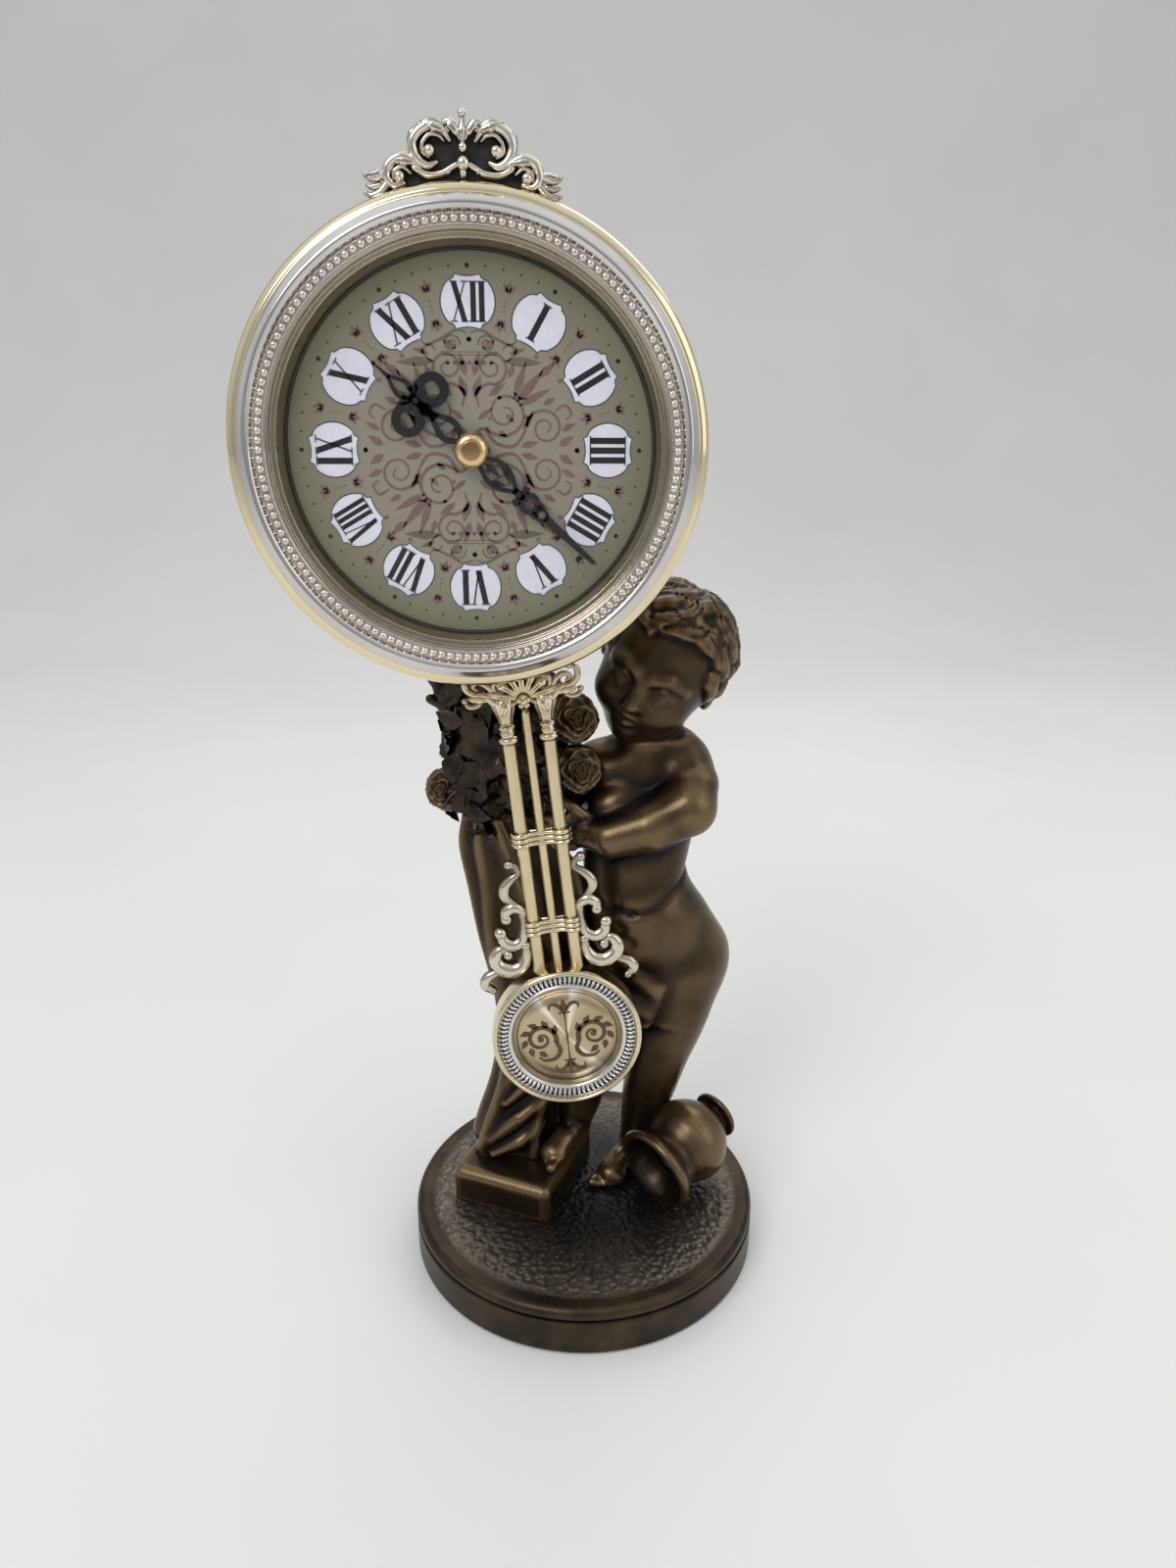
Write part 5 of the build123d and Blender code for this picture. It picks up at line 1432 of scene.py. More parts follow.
def crest():
    """Rococo crest: scrolls and leaves rising to a small finial, over a dark backing sheet of painted shade.
    """
    work = Batch()

    def bar(points, radii, flat):
        work.add(tube([(x, y, 0) for x, y in points], radii, 10, flat))

    def knob(x, y, radius):
        work.add(bead((x, y, 0.5), radius))

    for side in (-1, 1):
        for points, radii, flat in crest_scrolls:
            bar(sided(points, side), radii, flat)
        for base, tip, *shape in crest_leaves:
            work.add(leaf(*sided((base, tip), side), *shape, 7))
        for x, y, radius in crest_knobs:
            knob(side * x, y, radius)
    for y, radius in ((6.9, 1.1), (3.7, 1.7), (1.7, 0.9), (13.6, 0.95)):
        knob(0, y, radius)
    bar([(0, 7.6), (0, 10.2), (0, 12.2), (0, 13.4)], (0.6, 1.0, 0.6, 0.5), 1.2)
    made = work.piece("crest_scrolls", on_crest, antique_gold, "stand", "antique_gold")
    add_wear_and_painted_light(made, 1)
    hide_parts("crest")
    # Painted shade: a dark sheet behind the crest's scrolls, and a dark band along the bezel under them.
    r = bezel_radius
    arc = [(r + 0.6) * np.array((math.sin(a), math.cos(a))) for a in np.linspace(-0.36, 0.36, 25)]
    backing = Batch().add(ribbon(arc, [2.4 - 1.2 * abs(t) for t in np.linspace(-1, 1, 25)], 1.2, 2.6))
    outline = crest_outline + sided(crest_outline[:0:-1], -1)
    backing.add(slice_of([(x, r + y) for x, y in outline], 1.4, 2.2))
    backing.piece("crest_ground", on_dial, painted_shade_dark, "stand", "antique_gold", smooth=False)


# Pendulum


def turned_rod(profile, x, turns=40, petals=0, depth=0.0):
    """Turn a profile of (radius, y) about a rod's own axis, with petals where they are asked for."""
    places = []
    for radius, level in profile:
        for angle in turn_angles(turns):
            swell = radius * (1 + depth * math.cos(petals * angle))
            places.append((x + swell * math.cos(angle), level, rod_level + swell * math.sin(angle)))
    return capped(places, turns, (x, profile[0][1], rod_level), (x, profile[-1][1], rod_level))


def capitals():
    """Tulip cups over rolled collars, one on each outer rod."""
    cup = [(1.4, -103.0), (2.7, -103.2), (3.3, -104.1), (3.3, -105.4), (2.8, -107.2), (2.2, -109.0),
           (1.85, -110.6), (1.7, -111.4)]
    work = Batch()
    for x in (-rod_spacing, rod_spacing):
        work.add(turned_rod(cup, x, 72, 6, 0.15))
        for centre, radius, thick in ((112.3, 2.5, 0.6), (113.9, 2.3, 0.6), (116.0, 2.95, 1.15)):
            collar = [(radius - thick * 0.9, -centre + thick)]
            for a in np.linspace(math.pi / 2, -math.pi / 2, 9):
                collar.append((radius - thick + thick * math.cos(a), -centre + thick * math.sin(a)))
            work.add(turned_rod(collar, x))
        work.add(turned_rod([(1.0, -111.2), (2.0, -111.4), (2.0, -117.4), (1.0, -117.5)], x))
    made = work.piece("tulip_capitals", on_pendulum, antique_pale_gold, "pendulum", "polished_gold")
    add_wear_and_painted_light(made, 1)
    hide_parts("rod_capitals")


def cradle():
    """Leaves under the case: a rosette in the middle, a fan over it and rolled scrolls at the sides."""
    level = 3.8
    foot = -104.2
    fan = [(0, 9.6, 3.2), (26, 9.2, 2.9), (-26, 9.2, 2.9), (52, 9.4, 2.9), (-52, 9.4, 2.9), (76, 11.0, 2.6),
           (-76, 11.0, 2.6)]
    bars = [
        ([(1.6, -0.4), (4.6, -1.4), (8.0, -0.4), (10.8, 2.2), (13.4, 2.6), (15.6, 4.6), (15.6, 7.2),
          (13.8, 8.2)], (0.6, 1.0, 1.1, 1.05, 1.0, 0.95, 0.8, 0.5)),
        ([(8.0, 1.6), (9.6, 4.6), (12.0, 6.0), (13.6, 5.0), (12.6, 3.8)], (0.7, 0.9, 0.85, 0.7, 0.5)),
        ([(2.6, 5.6), (5.4, 6.4), (7.8, 5.0), (7.4, 2.8), (5.4, 2.6)], (0.6, 0.8, 0.8, 0.7, 0.5)),
        ([(10.6, 1.4), (13.2, -0.6), (15.4, -0.4), (16.2, 1.0)], (0.6, 0.85, 0.8, 0.5)),
    ]
    work = Batch()
    for angle, reach, width in fan:
        way = np.array([math.sin(math.radians(angle)), math.cos(math.radians(angle))])
        base = np.array([0, foot]) + way * 1.4
        work.add(leaf(base, base + way * reach, width, level, 1.5, 2, 13, 9))
    for side in (-1, 1):
        for points, radii in bars:
            work.add(tube([(side * x, foot + y, level) for x, y in points], radii, 10))
        work.add(leaf((side * 9.4, foot + 0.8), (side * 15.8, foot + 1.8), 2.4, level + 0.4, 1.2, 3, 11, 7))
        work.add(leaf((side * 4.6, foot + 0.2), (side * 6.6, foot - 4.4), 3.0, level + 0.5, 1.3, 3, 11, 7))
        for x, y, lift, radius in ((13.6, 8.0, 0, 0.95), (16.3, 1.2, 0, 0.9), (5.8, 4.2, 0.5, 1.2)):
            work.add(bead((side * x, foot + y, level + lift), radius))
    for turn in turn_angles(5):
        work.add(bead((1.35 * math.sin(turn), foot - 0.6 + 1.35 * math.cos(turn), level + 0.9), 0.85))
    work.add(bead((0, foot - 0.6, level + 1.3), 0.95))
    stem = [(0.6, -104.4), (1.6, -105.2), (2.0, -106.0), (1.5, -107.4), (1.3, -108.6), (0.8, -109.0)]
    work.add(turned_rod(stem, 0, 30, 5, 0.12))
    made = work.piece("cradle_leaves", on_pendulum, cradle_gold, "pendulum", "antique_gold")
    add_wear_and_painted_light(made, 1)
    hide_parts("cradle")


def clamps():
    """Three-ribbed straps that wrap the outer rods."""
    front = [(-8.7, 2.0), (-8.3, 3.3), (-7.2, 4.5), (-5.75, 4.75), (-4.2, 4.2), (-3.2, 3.3), (0, 3.1)]
    front += [(-x, n) for x, n in front[-2::-1]]
    for node, drop in zip(("upper_clamp", "lower_clamp"), clamp_drops):
        work = Batch()
        for rise in (-1.55, 0.0, 1.55):
            work.add(tube([(x, -drop + rise, n) for x, n in front], 0.72, 10))
            work.add(tube([(x, -drop + rise, 4.0 - n) for x, n in front], 0.72, 10))
        made = work.piece(node + "_ribs", on_pendulum, pendulum_gold, "pendulum", "polished_gold")
        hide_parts(node)


def scrolls():
    """Cast scrollwork beside the lower clamp: fat polished C-scrolls that roll into balls."""
    bars = [
        ([(9.9, -20.6), (8.6, -19.6), (8.5, -17.8), (10.6, -16.2), (12.7, -14.0), (13.2, -11.2), (11.6, -8.9),
          (9.4, -7.2)], (0.9, 0.8, 0.85, 1.1, 1.35, 1.35, 1.0, 0.7)),
        ([(8.6, -3.4), (8.9, -5.6), (11.2, -7.0), (13.3, -5.8), (13.8, -3.6)], (1.0, 1.3, 1.6, 1.5, 1.2)),
        ([(8.6, -4.2), (8.7, 0.2), (9.8, 3.8), (12.5, 5.3), (15.0, 4.0), (15.8, 1.4)],
         (0.9, 1.1, 1.4, 1.7, 1.6, 1.3)),
        ([(9.0, 5.6), (9.2, 9.2), (11.0, 12.6), (14.4, 13.6), (17.8, 11.8), (18.6, 8.8), (16.8, 6.4),
          (14.9, 7.6)], (1.0, 1.4, 1.9, 2.1, 2.0, 1.7, 1.3, 0.9)),
        ([(16.6, 13.4), (19.2, 14.0), (21.8, 15.2), (22.9, 17.6), (21.2, 19.6)], (0.8, 1.1, 1.4, 1.4, 1.0)),
    ]
    balls = [(10.7, -20.9, 1.25), (13.6, -3.4, 1.5), (15.9, 0.9, 1.65), (9.0, 5.9, 1.35), (14.7, 8.4, 1.4),
             (20.9, 19.8, 1.1)]
    bar_weight, ball_weight = 1.22, 1.2
    drop = clamp_drops[1]
    for name, side in (("left_scroll", -1), ("right_scroll", 1)):
        work = Batch()
        for path, radii in bars:
            points = [(side * x, -drop - below, rod_level) for x, below in path]
            work.add(tube(points, bar_weight * np.array(radii), 14, 0.95))
        for x, below, radius in balls:
            work.add(bead((side * x, -drop - below, rod_level), ball_weight * radius, 9, 16))
        made = work.piece(name + "_cast", on_pendulum, scroll_gold, "pendulum", "antique_gold")
        add_wear_and_painted_light(made, 1)
        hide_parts(name)


def bob():
    """Bob: rolled gilt rim, silver reeded channel, inner ring and a brushed medallion."""
    rim = [(22.6, 5.35), (23.1, 4.7), (23.2, 3.6), (23.2, -2.5), (22.4, -4.2), (20.0, -5.5), (4.0, -5.5),
           (4.0, -3.8), (19.5, -3.8), (21.4, -2.2), (21.4, 4.6), (21.7, 5.3), (22.1, 5.5)]
    work = Batch().add(lathe(rounded(rim, 0.3, 3), 160))
    made = work.piece("bob_rim", on_bob, pendulum_gold, "pendulum", "polished_gold")
    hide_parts("bob_shell")
    channel = [(21.4, 3.9), (21.1, 4.3), (20.9, 2.9), (18.6, 2.9), (18.4, 4.2), (18.0, 4.6), (17.5, 4.6),
               (17.1, 4.2), (16.9, 3.4), (16.9, 2.5), (21.4, 2.5)]
    work = Batch().add(lathe(rounded(channel, 0.2, 3), 160))
    work.piece("reed_channel", on_bob, channel_plate, "pendulum", "silver_reed")
    reed = tube([(-1.15, 0, 3.1), (0, 0, 3.6), (1.15, 0, 3.1)], (0.5, 0.56, 0.5), 8)
    made = ring_of("reeds", reed, 84, 19.75, 0.0, on_bob, silver_plate, "pendulum")
    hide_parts("reeded_ring")
    work = Batch().add(dish([(0, 3.45), (10, 3.45), (16.95, 3.45), (16.95, 2.6)], 128))
    made = work.piece("medallion_face", on_bob, medallion_gold, "pendulum", "medallion_gold")
    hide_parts("bob_medallion")


def bob_ornament():
    """Brown print on the medallion: a spindle with a lily at each end, between two leafy scrolls."""
    middle_x = 8.2
    work = Batch((3.46, 3.5))
    work.strip(curl((middle_x, 0.0), 4.9, 0.9, 200, -330, 44), np.linspace(1.7, 0.6, 44))
    work.strip([(3.6, -1.6), (2.6, -4.6), (4.4, -7.2), (7.6, -7.6), (9.6, -6.2)], (1.3, 1.5, 1.4, 1.0, 0.5))
    for angle in np.radians((165, 125, 85, 45, 5, -35, -75)):
        base = (middle_x + 4.4 * math.cos(angle), 4.4 * math.sin(angle))
        tip = (middle_x + 6.7 * math.cos(angle - 0.5), 6.7 * math.sin(angle - 0.5))
        work.plate(petal(base, tip, 2.1))
    work.plate(circle(1, 16, (middle_x, 0)))
    for end in (-1, 1):
        horn = [(x, end * y) for x, y in ((0.5, 8.8), (1.6, 10.8), (3.2, 11.7), (4.6, 10.9), (4.3, 9.7))]
        work.strip(horn, (0.6, 1.3, 1.2, 0.8, 0.4))
    work.mirrored((-1, 1))
    for end in (-1, 1):
        work.plate(petal((0, end * 8.4), (0, end * 13.6), 2.1))
        work.strip([(-1.8, end * 8.4), (0, end * 8.4), (1.8, end * 8.4)], 0.6)
    work.strip([(0, -8.6), (0, -4), (0, 0), (0, 4), (0, 8.6)], (0.8, 0.4, 0.7, 0.4, 0.8))
    work.ring((0, 0), 15.75, 15.45, 120)
    work.piece("medallion_print", on_bob, print_brown, "pendulum", "medallion_gold", smooth=False)


# Bush, roses, cloth, block and urn


def bush():
    masses = [(-22, 9, 168, 11.5), (-33, 12, 182, 9.0), (-14, 10, 181, 9.5), (-11, 9, 159, 10.0),
              (-34, 11, 157, 8.5)]
    clay = Clay((-52, -6, 140), (4, 34, 200), 0.7)
    for *place, radius in masses:
        clay.press(ball(place, radius), 3)
    clay.press(strand([(-29, 10, 144), (-22, 10, 164)], (7.4, 8.6)), 3)
    clay.press(strand([(-31, 7, 158), (-32, 6.5, 176), (-30, 6, 196)], (8.4, 7.6, 7.2)), 3)
    for knot in ((-37.5, 3.5, 170), (-35.5, 0.5, 184), (-25.5, -0.5, 178), (-27, 0, 191)):
        clay.press(ball(knot, (3.4, 2.8, 4.4)), 2)
    clay.cut(under_floor(143.8), 0.3)
    made = sculpted("bush_mass", clay, bronze_leaf, "stand")
    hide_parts("rose_bush")
    return made


def branch():
    """Bare knotty branch at the side of the bush, with three cut twigs."""
    clay = Clay((-52, -2, 160), (-28, 24, 202), 0.5)
    stem = [(-33, 9, 168), (-38, 9.5, 177), (-42.4, 11, 187), (-45, 13, 196)]
    clay.press(strand(stem, (4.4, 3.7, 3.1, 2.6)), 1.5)
    clay.press(strand([(-41, 10, 183), (-46.4, 8.6, 186)], (2.0, 1.5)), 1.0)
    clay.press(strand([(-43, 11.5, 189), (-39.6, 9.4, 193)], (1.8, 1.3)), 1.0)
    clay.press(strand([(-37, 8, 174), (-41, 4.2, 177.4)], (2.3, 1.8)), 1.0)
    clay.cut(ball((-41.6, 3.6, 177.8), 1.1), 0.4)
    for knot in ((-36, 6.8, 172.5), (-42, 8.6, 184), (-45.6, 11.6, 192)):
        clay.press(ball(knot, (2.0, 1.6, 2.4)), 1.2)
    made = sculpted("bush_branch", clay, bronze_leaf, "stand")


def rose_leaf():
    """A pointed toothed leaf lying in x and y, folded along its midrib, about 1 unit long."""
    rows, across = 13, 7
    vertices = []
    for u in np.linspace(0, 1, rows):
        teeth = 1 + 0.05 * math.sin(2 * math.pi * 6 * u)
        half = 0.40 * math.sin(math.pi * u ** 0.85) ** 0.9 * teeth + 0.012
        for v in np.linspace(-1, 1, across):
            fold = 0.16 * abs(v) ** 1.3 + 0.05 * math.sin(2 * math.pi * (5 * u - abs(v)))
            vertices.append((u, half * v, fold * half * 2 - 0.25 * u * u))
    return np.array(vertices), turned_over(sheet(rows, across))


def scatter_tree():
    """Geometry Nodes: a form scattered over a mesh, standing out along its normals with a random turn."""
    tree, inputs, given = form_tree("scatter_forms", {
        "Ground": "Object", "Form": "Object", "Density": "Float", "Apart": "Float", "Least": "Float",
        "Most": "Float", "Seed": "Int", "Finish": "Material"})
    nodes, links = tree.nodes, tree.links
    ground_info = nodes.new("GeometryNodeObjectInfo")
    links.new(given.outputs["Ground"], ground_info.inputs["Object"])
    points = nodes.new("GeometryNodeDistributePointsOnFaces")
    points.distribute_method = "POISSON"
    links.new(ground_info.outputs["Geometry"], points.inputs["Mesh"])
    links.new(given.outputs["Apart"], points.inputs["Distance Min"])
    links.new(given.outputs["Density"], points.inputs["Density Max"])
    links.new(given.outputs["Seed"], points.inputs["Seed"])
    spin, tilt, size = (nodes.new("FunctionNodeRandomValue") for _ in range(3))
    spin.data_type = tilt.data_type = "FLOAT_VECTOR"
    spin.inputs["Min"].default_value = (0, 0, 0)
    spin.inputs["Max"].default_value = (0, 0, 2 * math.pi)
    tilt.inputs["Min"].default_value = (-0.15, -0.26, 0)
    tilt.inputs["Max"].default_value = (0.15, -0.02, 0)
    size.data_type = "FLOAT"
    for name, given_name in (("Min", "Least"), ("Max", "Most")):
        socket = next(s for s in size.inputs if s.name == name and s.enabled)
        links.new(given.outputs[given_name], socket)
    turn = points.outputs["Rotation"]
    for by in (spin, tilt):
        node = nodes.new("FunctionNodeRotateRotation")
        node.rotation_space = "LOCAL"
        links.new(turn, node.inputs["Rotation"])
        links.new(next(s for s in by.outputs if s.enabled), node.inputs["Rotate By"])
        turn = node.outputs[0]
    copy_forms(tree, given, points.outputs["Points"], turn, next(s for s in size.outputs if s.enabled))
    return tree, inputs


def leaves(ground_piece):
    points, faces = rose_leaf()
    form = new_object("leaf_form", points * MM, faces)
    values = {"Ground": ground_piece, "Density": 90000.0, "Apart": 0.0036, "Least": 7.0, "Most": 11.0,
              "Seed": 4, "Finish": bronze_leaf}
    made = grown_mesh("bush_leaves", scatter_tree(), values, form)
    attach(made, "stand")


def rose(centre, radius, facing):
    """A rose head: rings of scalloped petals that open outwards from a tight bud."""
    pose = Pose(centre, facing, (0.1, 0.2, 1))
    rows, turns = 84, 120
    deepest = 2.35
    rings = ((0.0, 2), (0.22, 3), (0.50, 3), (0.82, 4), (1.20, 5), (1.65, 5), (2.45, 6))
    vertices = []
    for row in range(rows + 1):
        polar = deepest * row / rows
        for turn in range(turns):
            angle = 2 * math.pi * turn / turns
            edges = []
            for n, (edge, petals) in enumerate(rings):
                edges.append(edge + 0.11 * min(2 * edge, 1) * math.cos(petals * angle + 1.9 * n))
            layer = sum(polar > edge for edge in edges[1:-1])
            share = (polar - edges[layer]) / (edges[layer + 1] - edges[layer])
            swell = radius * (0.72 + 0.015 * layer + 0.30 * min(max(share, 0), 1) ** 2.8 * min(1, 2 * polar))
            out = math.sin(polar) * swell
            vertices.append(pose.place(out * math.cos(angle), out * math.sin(angle), math.cos(polar) * swell))
    end = tuple(rows * turns + n for n in range(turns))[::-1]
    return np.array(vertices), turned_over(bands(rows + 1, turns)) + [end]


def roses():
    work = Batch()
    for x, y, z, radius, facing in (
            (-3.5, 3.0, 181, 7.4, (0.15, -1, 0.35)), (-2.5, 3.0, 165, 7.6, (0.2, -1, 0.3)),
            (-42, 7.0, 158, 6.8, (-0.5, -1, 0.35)), (-20, 19, 188, 7.2, (0.15, -0.4, 1)),
            (-38, 22, 172, 6.7, (-0.6, 0.8, 0.35))):
        work.add(rose((x, y, z), radius, facing))
    made = work.piece("rose_heads", lambda p: p, bronze, "stand", "bronze")
    add_wear_and_painted_light(made, 3)
    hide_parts("rose_blooms")


# Hanging cloth: x, y and z of each section's middle, half width and half depth
cloth_sections = [
    (-22.5, 9.5, 27.5, 13.6, 10.5),
    (-22.8, 9.5, 32, 13.8, 10.4),
    (-21.8, 9.5, 40, 13, 10),
    (-17.5, 9.5, 56, 12.5, 9.6),
    (-13.5, 9, 74, 14, 9.6),
    (-12.5, 9, 90, 16.5, 9.4),
    (-14.5, 9, 108, 18.5, 9.2),
    (-17.5, 9, 126, 18.5, 8.8),
    (-23, 9, 140, 15.5, 8.4),
    (-27, 9.5, 150, 10.5, 7.6),
]

# Its folds: angle at mid height, drift per 100 mm, width in radians and depth as a share of the radius
cloth_folds = [
    (-2.95, 0.5, 0.26, 0.16), (-2.40, 0.2, 0.17, 0.15), (-1.95, 0.5, 0.22, 0.19), (-1.40, -0.2, 0.15, 0.14),
    (-0.95, 0.4, 0.22, 0.17), (-0.30, 0.0, 0.22, 0.12), (0.55, 0.1, 0.27, 0.14), (1.30, -0.2, 0.22, 0.13),
    (2.05, 0.2, 0.27, 0.15), (2.70, 0.1, 0.18, 0.12),
]

# Folds that fall across it towards the block: points and thickness
cloth_tucks = [
    ([(-10, -0.5, 66), (-18, -1.5, 58), (-26, 0, 49)], (0.8, 2.0, 0.8)),
    ([(-12, 0, 52), (-22, -1.2, 44), (-31, 1.5, 35), (-36, 4, 29.5)], (1.0, 2.3, 2.5, 1.2)),
    ([(-14, 0.5, 41), (-22, -1.6, 35), (-31, -1.4, 30)], (0.8, 2.1, 1.0)),
]


def hanging_cloth():
    """Cloth cast over the bush's foot: it hangs in rounded folds and spreads over the block."""
    clay = Clay((-52, -14, slab_top - 0.5), (6, 32, 154), 0.7)

    def folds(angle, z):
        rise = -0.05
        for place, drift, width, depth in cloth_folds:
            turn = angle - place - drift * (z - 90) / 100 - 0.12 * np.sin(0.045 * z + 5 * place)
            turn = (turn + np.pi) % (2 * np.pi) - np.pi
            rise = rise + depth * np.exp(-(turn / width) ** 2)
        return rise

    clay.press(column(cloth_sections, folds), 2)
    for points, radii in cloth_tucks:
        clay.press(strand(points, radii), 2.6)
    clay.cut(under_floor(slab_top), 0.2)
    made = sculpted("hanging_cloth", clay, bronze, "stand", 4)
    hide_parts("cast_cloth")


def stone_block():
    """Block smoothed by wear, its arrises rounded and rubbed bright."""
    clay = Clay((-52, -26, ground - 0.5), (11, 38, slab_top + 1.5), 0.6)
    clay.press(slab_space(3.0), 0.5)
    clay.cut(under_floor(ground), 0.2)
    made = sculpted("stone_block", clay, bronze, "stand", 5)
    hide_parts("stone_slab")


def urn():
    """Jug on its side: rolled flared lip, narrow neck, round belly and a ring foot."""
    axis = np.array([0.759, 0.608, 0.233])
    mouth = np.array([22.0, -11.0, 28.8])
    side = np.cross((0, 0, 1), axis)
    side /= np.linalg.norm(side)
    over = np.cross(axis, side)
    profile = [(13.0, -0.2), (14.1, 0.3), (14.6, 1.4), (14.2, 2.7), (13.0, 4.2), (11.8, 5.8), (11.2, 7.4),
               (11.4, 9.2), (12.6, 11.8), (13.8, 14.6), (14.2, 17.6), (13.4, 21.0), (11.4, 24.6), (8.8, 27.4),
               (6.4, 29.2), (5.8, 30.2), (6.6, 30.8), (8.0, 31.2), (8.3, 31.9), (8.0, 32.7), (6.8, 33.0),
               (0.4, 33.0), (0.4, 10.6), (8.2, 10.0), (8.6, 7.4), (9.2, 5.0), (10.2, 2.6), (11.6, 0.7)]
    rows = smooth_rows(profile + profile[:1], 150)[:-1]
    made = Batch().add(lathe([tuple(p) for p in rows], 96))
    for vertex in made.vertices:
        place = mouth + side * vertex[0] + over * vertex[1] + axis * vertex[2]
        vertex[:] = [place[0], place[1], max(place[2], ground)]
    piece = made.piece("bronze_urn", lambda p: p, bronze, "stand", "bronze")
    add_wear_and_painted_light(piece, 4)
    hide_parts("water_urn")


# Stage, light and camera


def sweep_floor():
    """Pale studio floor that curves up into a backdrop."""
    f = Finish("pale_floor", Roughness=0.8)
    f.set("Base Color", f.ramp(f.noise(6, 2), [(0.3, (0.80, 0.79, 0.77)), (0.7, (0.83, 0.82, 0.80))]))
    bend_start, bend_radius = 0.9, 0.7
    bend = [(bend_start + bend_radius * math.sin(a), bend_radius - bend_radius * math.cos(a))
            for a in np.linspace(0, math.pi / 2, 16)]
    profile = [(-4.0, 0.0), (0.0, 0.0), *bend, (1.6, 3.5)]
    vertices = [(x, y, z) for y, z in profile for x in (-5.0, 5.0)]
    faces = [(2 * n, 2 * n + 1, 2 * n + 3, 2 * n + 2) for n in range(len(profile) - 1)]
    floor = new_object("floor", vertices, faces)
    floor.data.materials.append(f.material)


def studio_world():
    """A soft surround, the same for every ray: bright overhead, grey at eye level, dimmer in front."""
    world = bpy.data.worlds.new("studio")
    bpy.context.scene.world = world
    world.use_nodes = True
    nodes, links = world.node_tree.nodes, world.node_tree.links
    way = nodes.new("ShaderNodeSeparateXYZ")
    links.new(nodes.new("ShaderNodeTexCoord").outputs["Generated"], way.inputs[0])
    levels = []
    for axis, low, high, dim, full in (("Z", -0.2, 0.9, 0.40, 1.0), ("Y", -1.0, 0.2, 0.62, 1.0)):
        node = nodes.new("ShaderNodeMapRange")
        for name, value in (("From Min", low), ("From Max", high), ("To Min", dim), ("To Max", full)):
            node.inputs[name].default_value = value
        links.new(way.outputs[axis], node.inputs["Value"])
        levels.append(node.outputs["Result"])
    strength = nodes.new("ShaderNodeMath")
    strength.operation = "MULTIPLY"
    for level, socket in zip(levels, strength.inputs):
        links.new(level, socket)
    surround = nodes["Background"]
    surround.inputs["Color"].default_value = (0.96, 0.98, 1.0, 1)
    links.new(strength.outputs[0], surround.inputs["Strength"])


def lamp(name, place, aim, size, power, colour=(1, 1, 1)):
    data = bpy.data.lights.new(name, "AREA")
    data.shape = "RECTANGLE"
    data.size, data.size_y = size
    data.energy = power
    data.color = colour
    light = bpy.data.objects.new(name, data)
    bpy.context.scene.collection.objects.link(light)
    light.location = place
    light.rotation_euler = (Vector(aim) - Vector(place)).to_track_quat("-Z", "Y").to_euler()


def photo_camera():
    """The photograph's own view: its place, tilt and lens, worked out from the round base and bezel."""
    pitch, yaw, roll = math.radians(18.2124), math.radians(3.3572), math.radians(0.2517)
    focal_pixels, picture_pixels = 1086.76, 1600
    data = bpy.data.cameras.new("camera")
    data.sensor_fit = "AUTO"
    data.sensor_width = 36.0
    data.lens = data.sensor_width * focal_pixels / picture_pixels
    data.clip_start = 0.01
    camera = bpy.data.objects.new("camera", data)
    bpy.context.scene.collection.objects.link(camera)
    ahead = Vector((math.sin(yaw), math.cos(yaw), 0))
    right = Vector((math.cos(yaw), -math.sin(yaw), 0))
    forward = ahead * math.cos(pitch) - Vector((0, 0, math.sin(pitch)))
    up = ahead * math.sin(pitch) + Vector((0, 0, math.cos(pitch)))
    across = right * math.cos(roll) + up * math.sin(roll)
    over = up * math.cos(roll) - right * math.sin(roll)
    matrix = Matrix((across, over, -forward)).transposed().to_4x4()
    matrix.translation = Vector((-17.24, -305.81, 262.0)) * MM
    camera.matrix_world = matrix
    bpy.context.scene.camera = camera


bronze = bronze_finish()
bronze_leaf = metal_finish("bronze_leaf", (0.018, 0.016, 0.016), (0.070, 0.052, 0.034), 0.27, 160, 0.88)
pebbled_bronze = pebbled_bronze_finish()
bezel_plate = bezel_finish()
pendulum_gold = metal_finish("gold_pendulum", (0.64, 0.55, 0.38), (0.75, 0.66, 0.48), 0.14)
hub_copper = metal_finish("copper_hub", (0.36, 0.21, 0.12), (0.47, 0.29, 0.17), 0.22, 90)
hub_gold = metal_finish("gold_hub", (0.78, 0.58, 0.27), (0.86, 0.68, 0.36), 0.18, 90)
# The gilt castings' finishes hold painted light: painted shade in hollows and towards the back of the relief,
# painted highlight on crests and towards the front; each call gives the levels of full shade and full
# highlight.
antique_gold = cast_finish("gold_antique", (0.035, 0.031, 0.030), (0.33, 0.30, 0.255), (0.74, 0.69, 0.60),
                           0.12, dial_front - 2.0, dial_front - 4.6)
pale_casting = ((0.045, 0.033, 0.024), (0.42, 0.34, 0.22), (0.80, 0.71, 0.52), 0.13)
antique_pale_gold = cast_finish("gold_antique_pale", *pale_casting, pivot[1] - 1.4, pivot[1] - 3.6)
cradle_gold = cast_finish("gold_cradle", *pale_casting, pivot[1] - 2.8, pivot[1] - 5.4)
scroll_gold = cast_finish("gold_scroll", (0.06, 0.052, 0.045), (0.34, 0.30, 0.23), (0.70, 0.64, 0.52), 0.08,
                          pivot[1] - 1.6, pivot[1] - 3.7)
silver_plate = metal_finish("silver_plate", (0.62, 0.61, 0.60), (0.74, 0.73, 0.71), 0.18)
channel_plate = channel_finish()
bead_silver = metal_finish("bead_silver", (0.66, 0.60, 0.53), (0.78, 0.72, 0.64), 0.14)
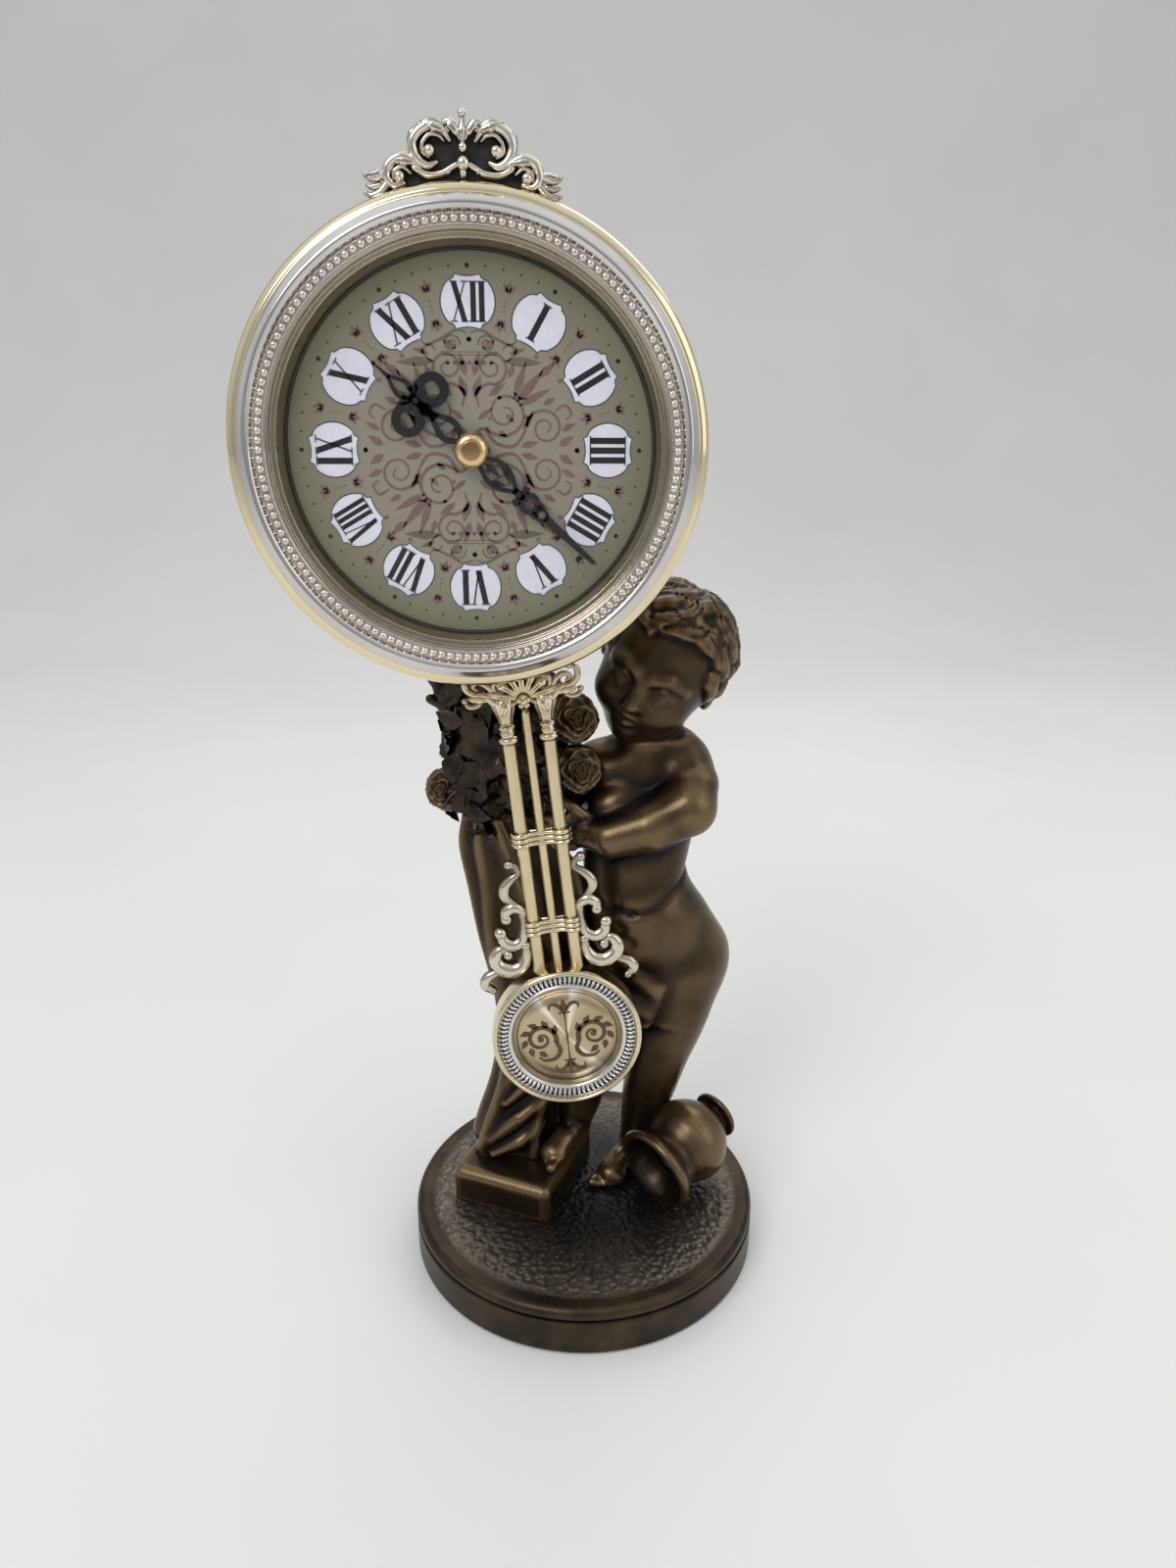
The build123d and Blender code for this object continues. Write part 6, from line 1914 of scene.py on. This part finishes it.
# Painted shade: the dark backing behind the crest.
painted_shade_dark = print_finish("painted_shade_dark", (0.02, 0.018, 0.016), (0.05, 0.045, 0.04), 0.6, 0.6)
dial_gold = dial_finish()
enamel_white = print_finish("enamel_white", (0.76, 0.76, 0.86), (0.82, 0.82, 0.91), 0.35)
ink_black = print_finish("ink_black", (0.006, 0.006, 0.007), (0.014, 0.014, 0.016), 0.4)
ink_navy = print_finish("ink_navy", (0.016, 0.016, 0.045), (0.026, 0.026, 0.065), 0.4)
print_mauve = print_finish("print_mauve", (0.175, 0.115, 0.105), (0.225, 0.15, 0.135), 0.55, 0.2)
print_olive = print_finish("print_olive", (0.135, 0.115, 0.085), (0.18, 0.155, 0.11), 0.55, 0.2)
print_brown = print_finish("print_brown", (0.10, 0.05, 0.026), (0.15, 0.08, 0.042), 0.5, 0.3)
hand_black = print_finish("hand_black", (0.007, 0.007, 0.008), (0.016, 0.015, 0.015), 0.3)
medallion_gold = medallion_finish()
crystal_glass = crystal_finish()
slot_finishes = {
    "bronze": metal_finish("bronze_plain", (0.040, 0.029, 0.019), (0.080, 0.055, 0.031), 0.36, 90, 0.88),
    "felt": print_finish("felt", (0.012, 0.03, 0.018), (0.03, 0.06, 0.036), 0.95),
    "steel": metal_finish("steel", (0.46, 0.46, 0.47), (0.60, 0.60, 0.61), 0.3),
    "polished_gold": pendulum_gold,
    "satin_gold": metal_finish("gold_satin", (0.66, 0.55, 0.34), (0.76, 0.65, 0.42), 0.34),
    "antique_gold": antique_gold,
    "silver_reed": silver_plate,
    "medallion_gold": medallion_gold,
    "crystal": crystal_glass,
    "dial": dial_gold,
    "case": metal_finish("case_gilt", (0.60, 0.49, 0.29), (0.70, 0.58, 0.36), 0.32),
    "black_plastic": print_finish("plastic_black", (0.014, 0.014, 0.015), (0.03, 0.03, 0.032), 0.55),
    "gear_plastic": print_finish("plastic_gear", (0.60, 0.58, 0.52), (0.72, 0.70, 0.64), 0.5),
    "brass_work": metal_finish("brass", (0.66, 0.47, 0.18), (0.78, 0.58, 0.25), 0.3),
    "cell": print_finish("cell_sleeve", (0.05, 0.05, 0.055), (0.09, 0.09, 0.10), 0.4),
    "contact": metal_finish("nickel", (0.55, 0.54, 0.50), (0.68, 0.67, 0.63), 0.3),
    "board": print_finish("circuit_board", (0.02, 0.14, 0.06), (0.04, 0.21, 0.09), 0.5),
    "coil": metal_finish("copper_wire", (0.55, 0.24, 0.10), (0.70, 0.34, 0.16), 0.35, 300),
    "hand_black": hand_black,
    "weight": metal_finish("cast_iron", (0.10, 0.10, 0.10), (0.17, 0.17, 0.17), 0.6),
}
for part in record["subparts"]:
    frame["nodes"][part["node"]].data.materials[0] = slot_finishes[part["material_slot"]]
frame["nodes"]["base_plinth"].data.materials[0] = pebbled_bronze

bpy.context.scene.view_settings.view_transform = "Standard"
sweep_floor()
studio_world()
lamp("key", (-0.55, -0.75, 1.0), (0, 0, 0.15), (0.6, 0.6), 5.0)
lamp("fill", (0.9, -0.5, 0.6), (0, 0, 0.18), (0.8, 0.8), 1.6)
lamp("back", (0.2, 0.7, 0.9), (0, 0, 0.2), (0.9, 0.5), 2.4)
photo_camera()

ring_nodes = ring_tree()
child()
leaves(bush())
branch()
roses()
hanging_cloth()
stone_block()
urn()
bezel()
beads()
dial_face()
minute_dots()
numerals()
arabesque()
dial_crests()
dial_sprigs()
hour_hand()
minute_hand()
hub()
crest()
cradle()
capitals()
clamps()
scrolls()
bob()
bob_ornament()
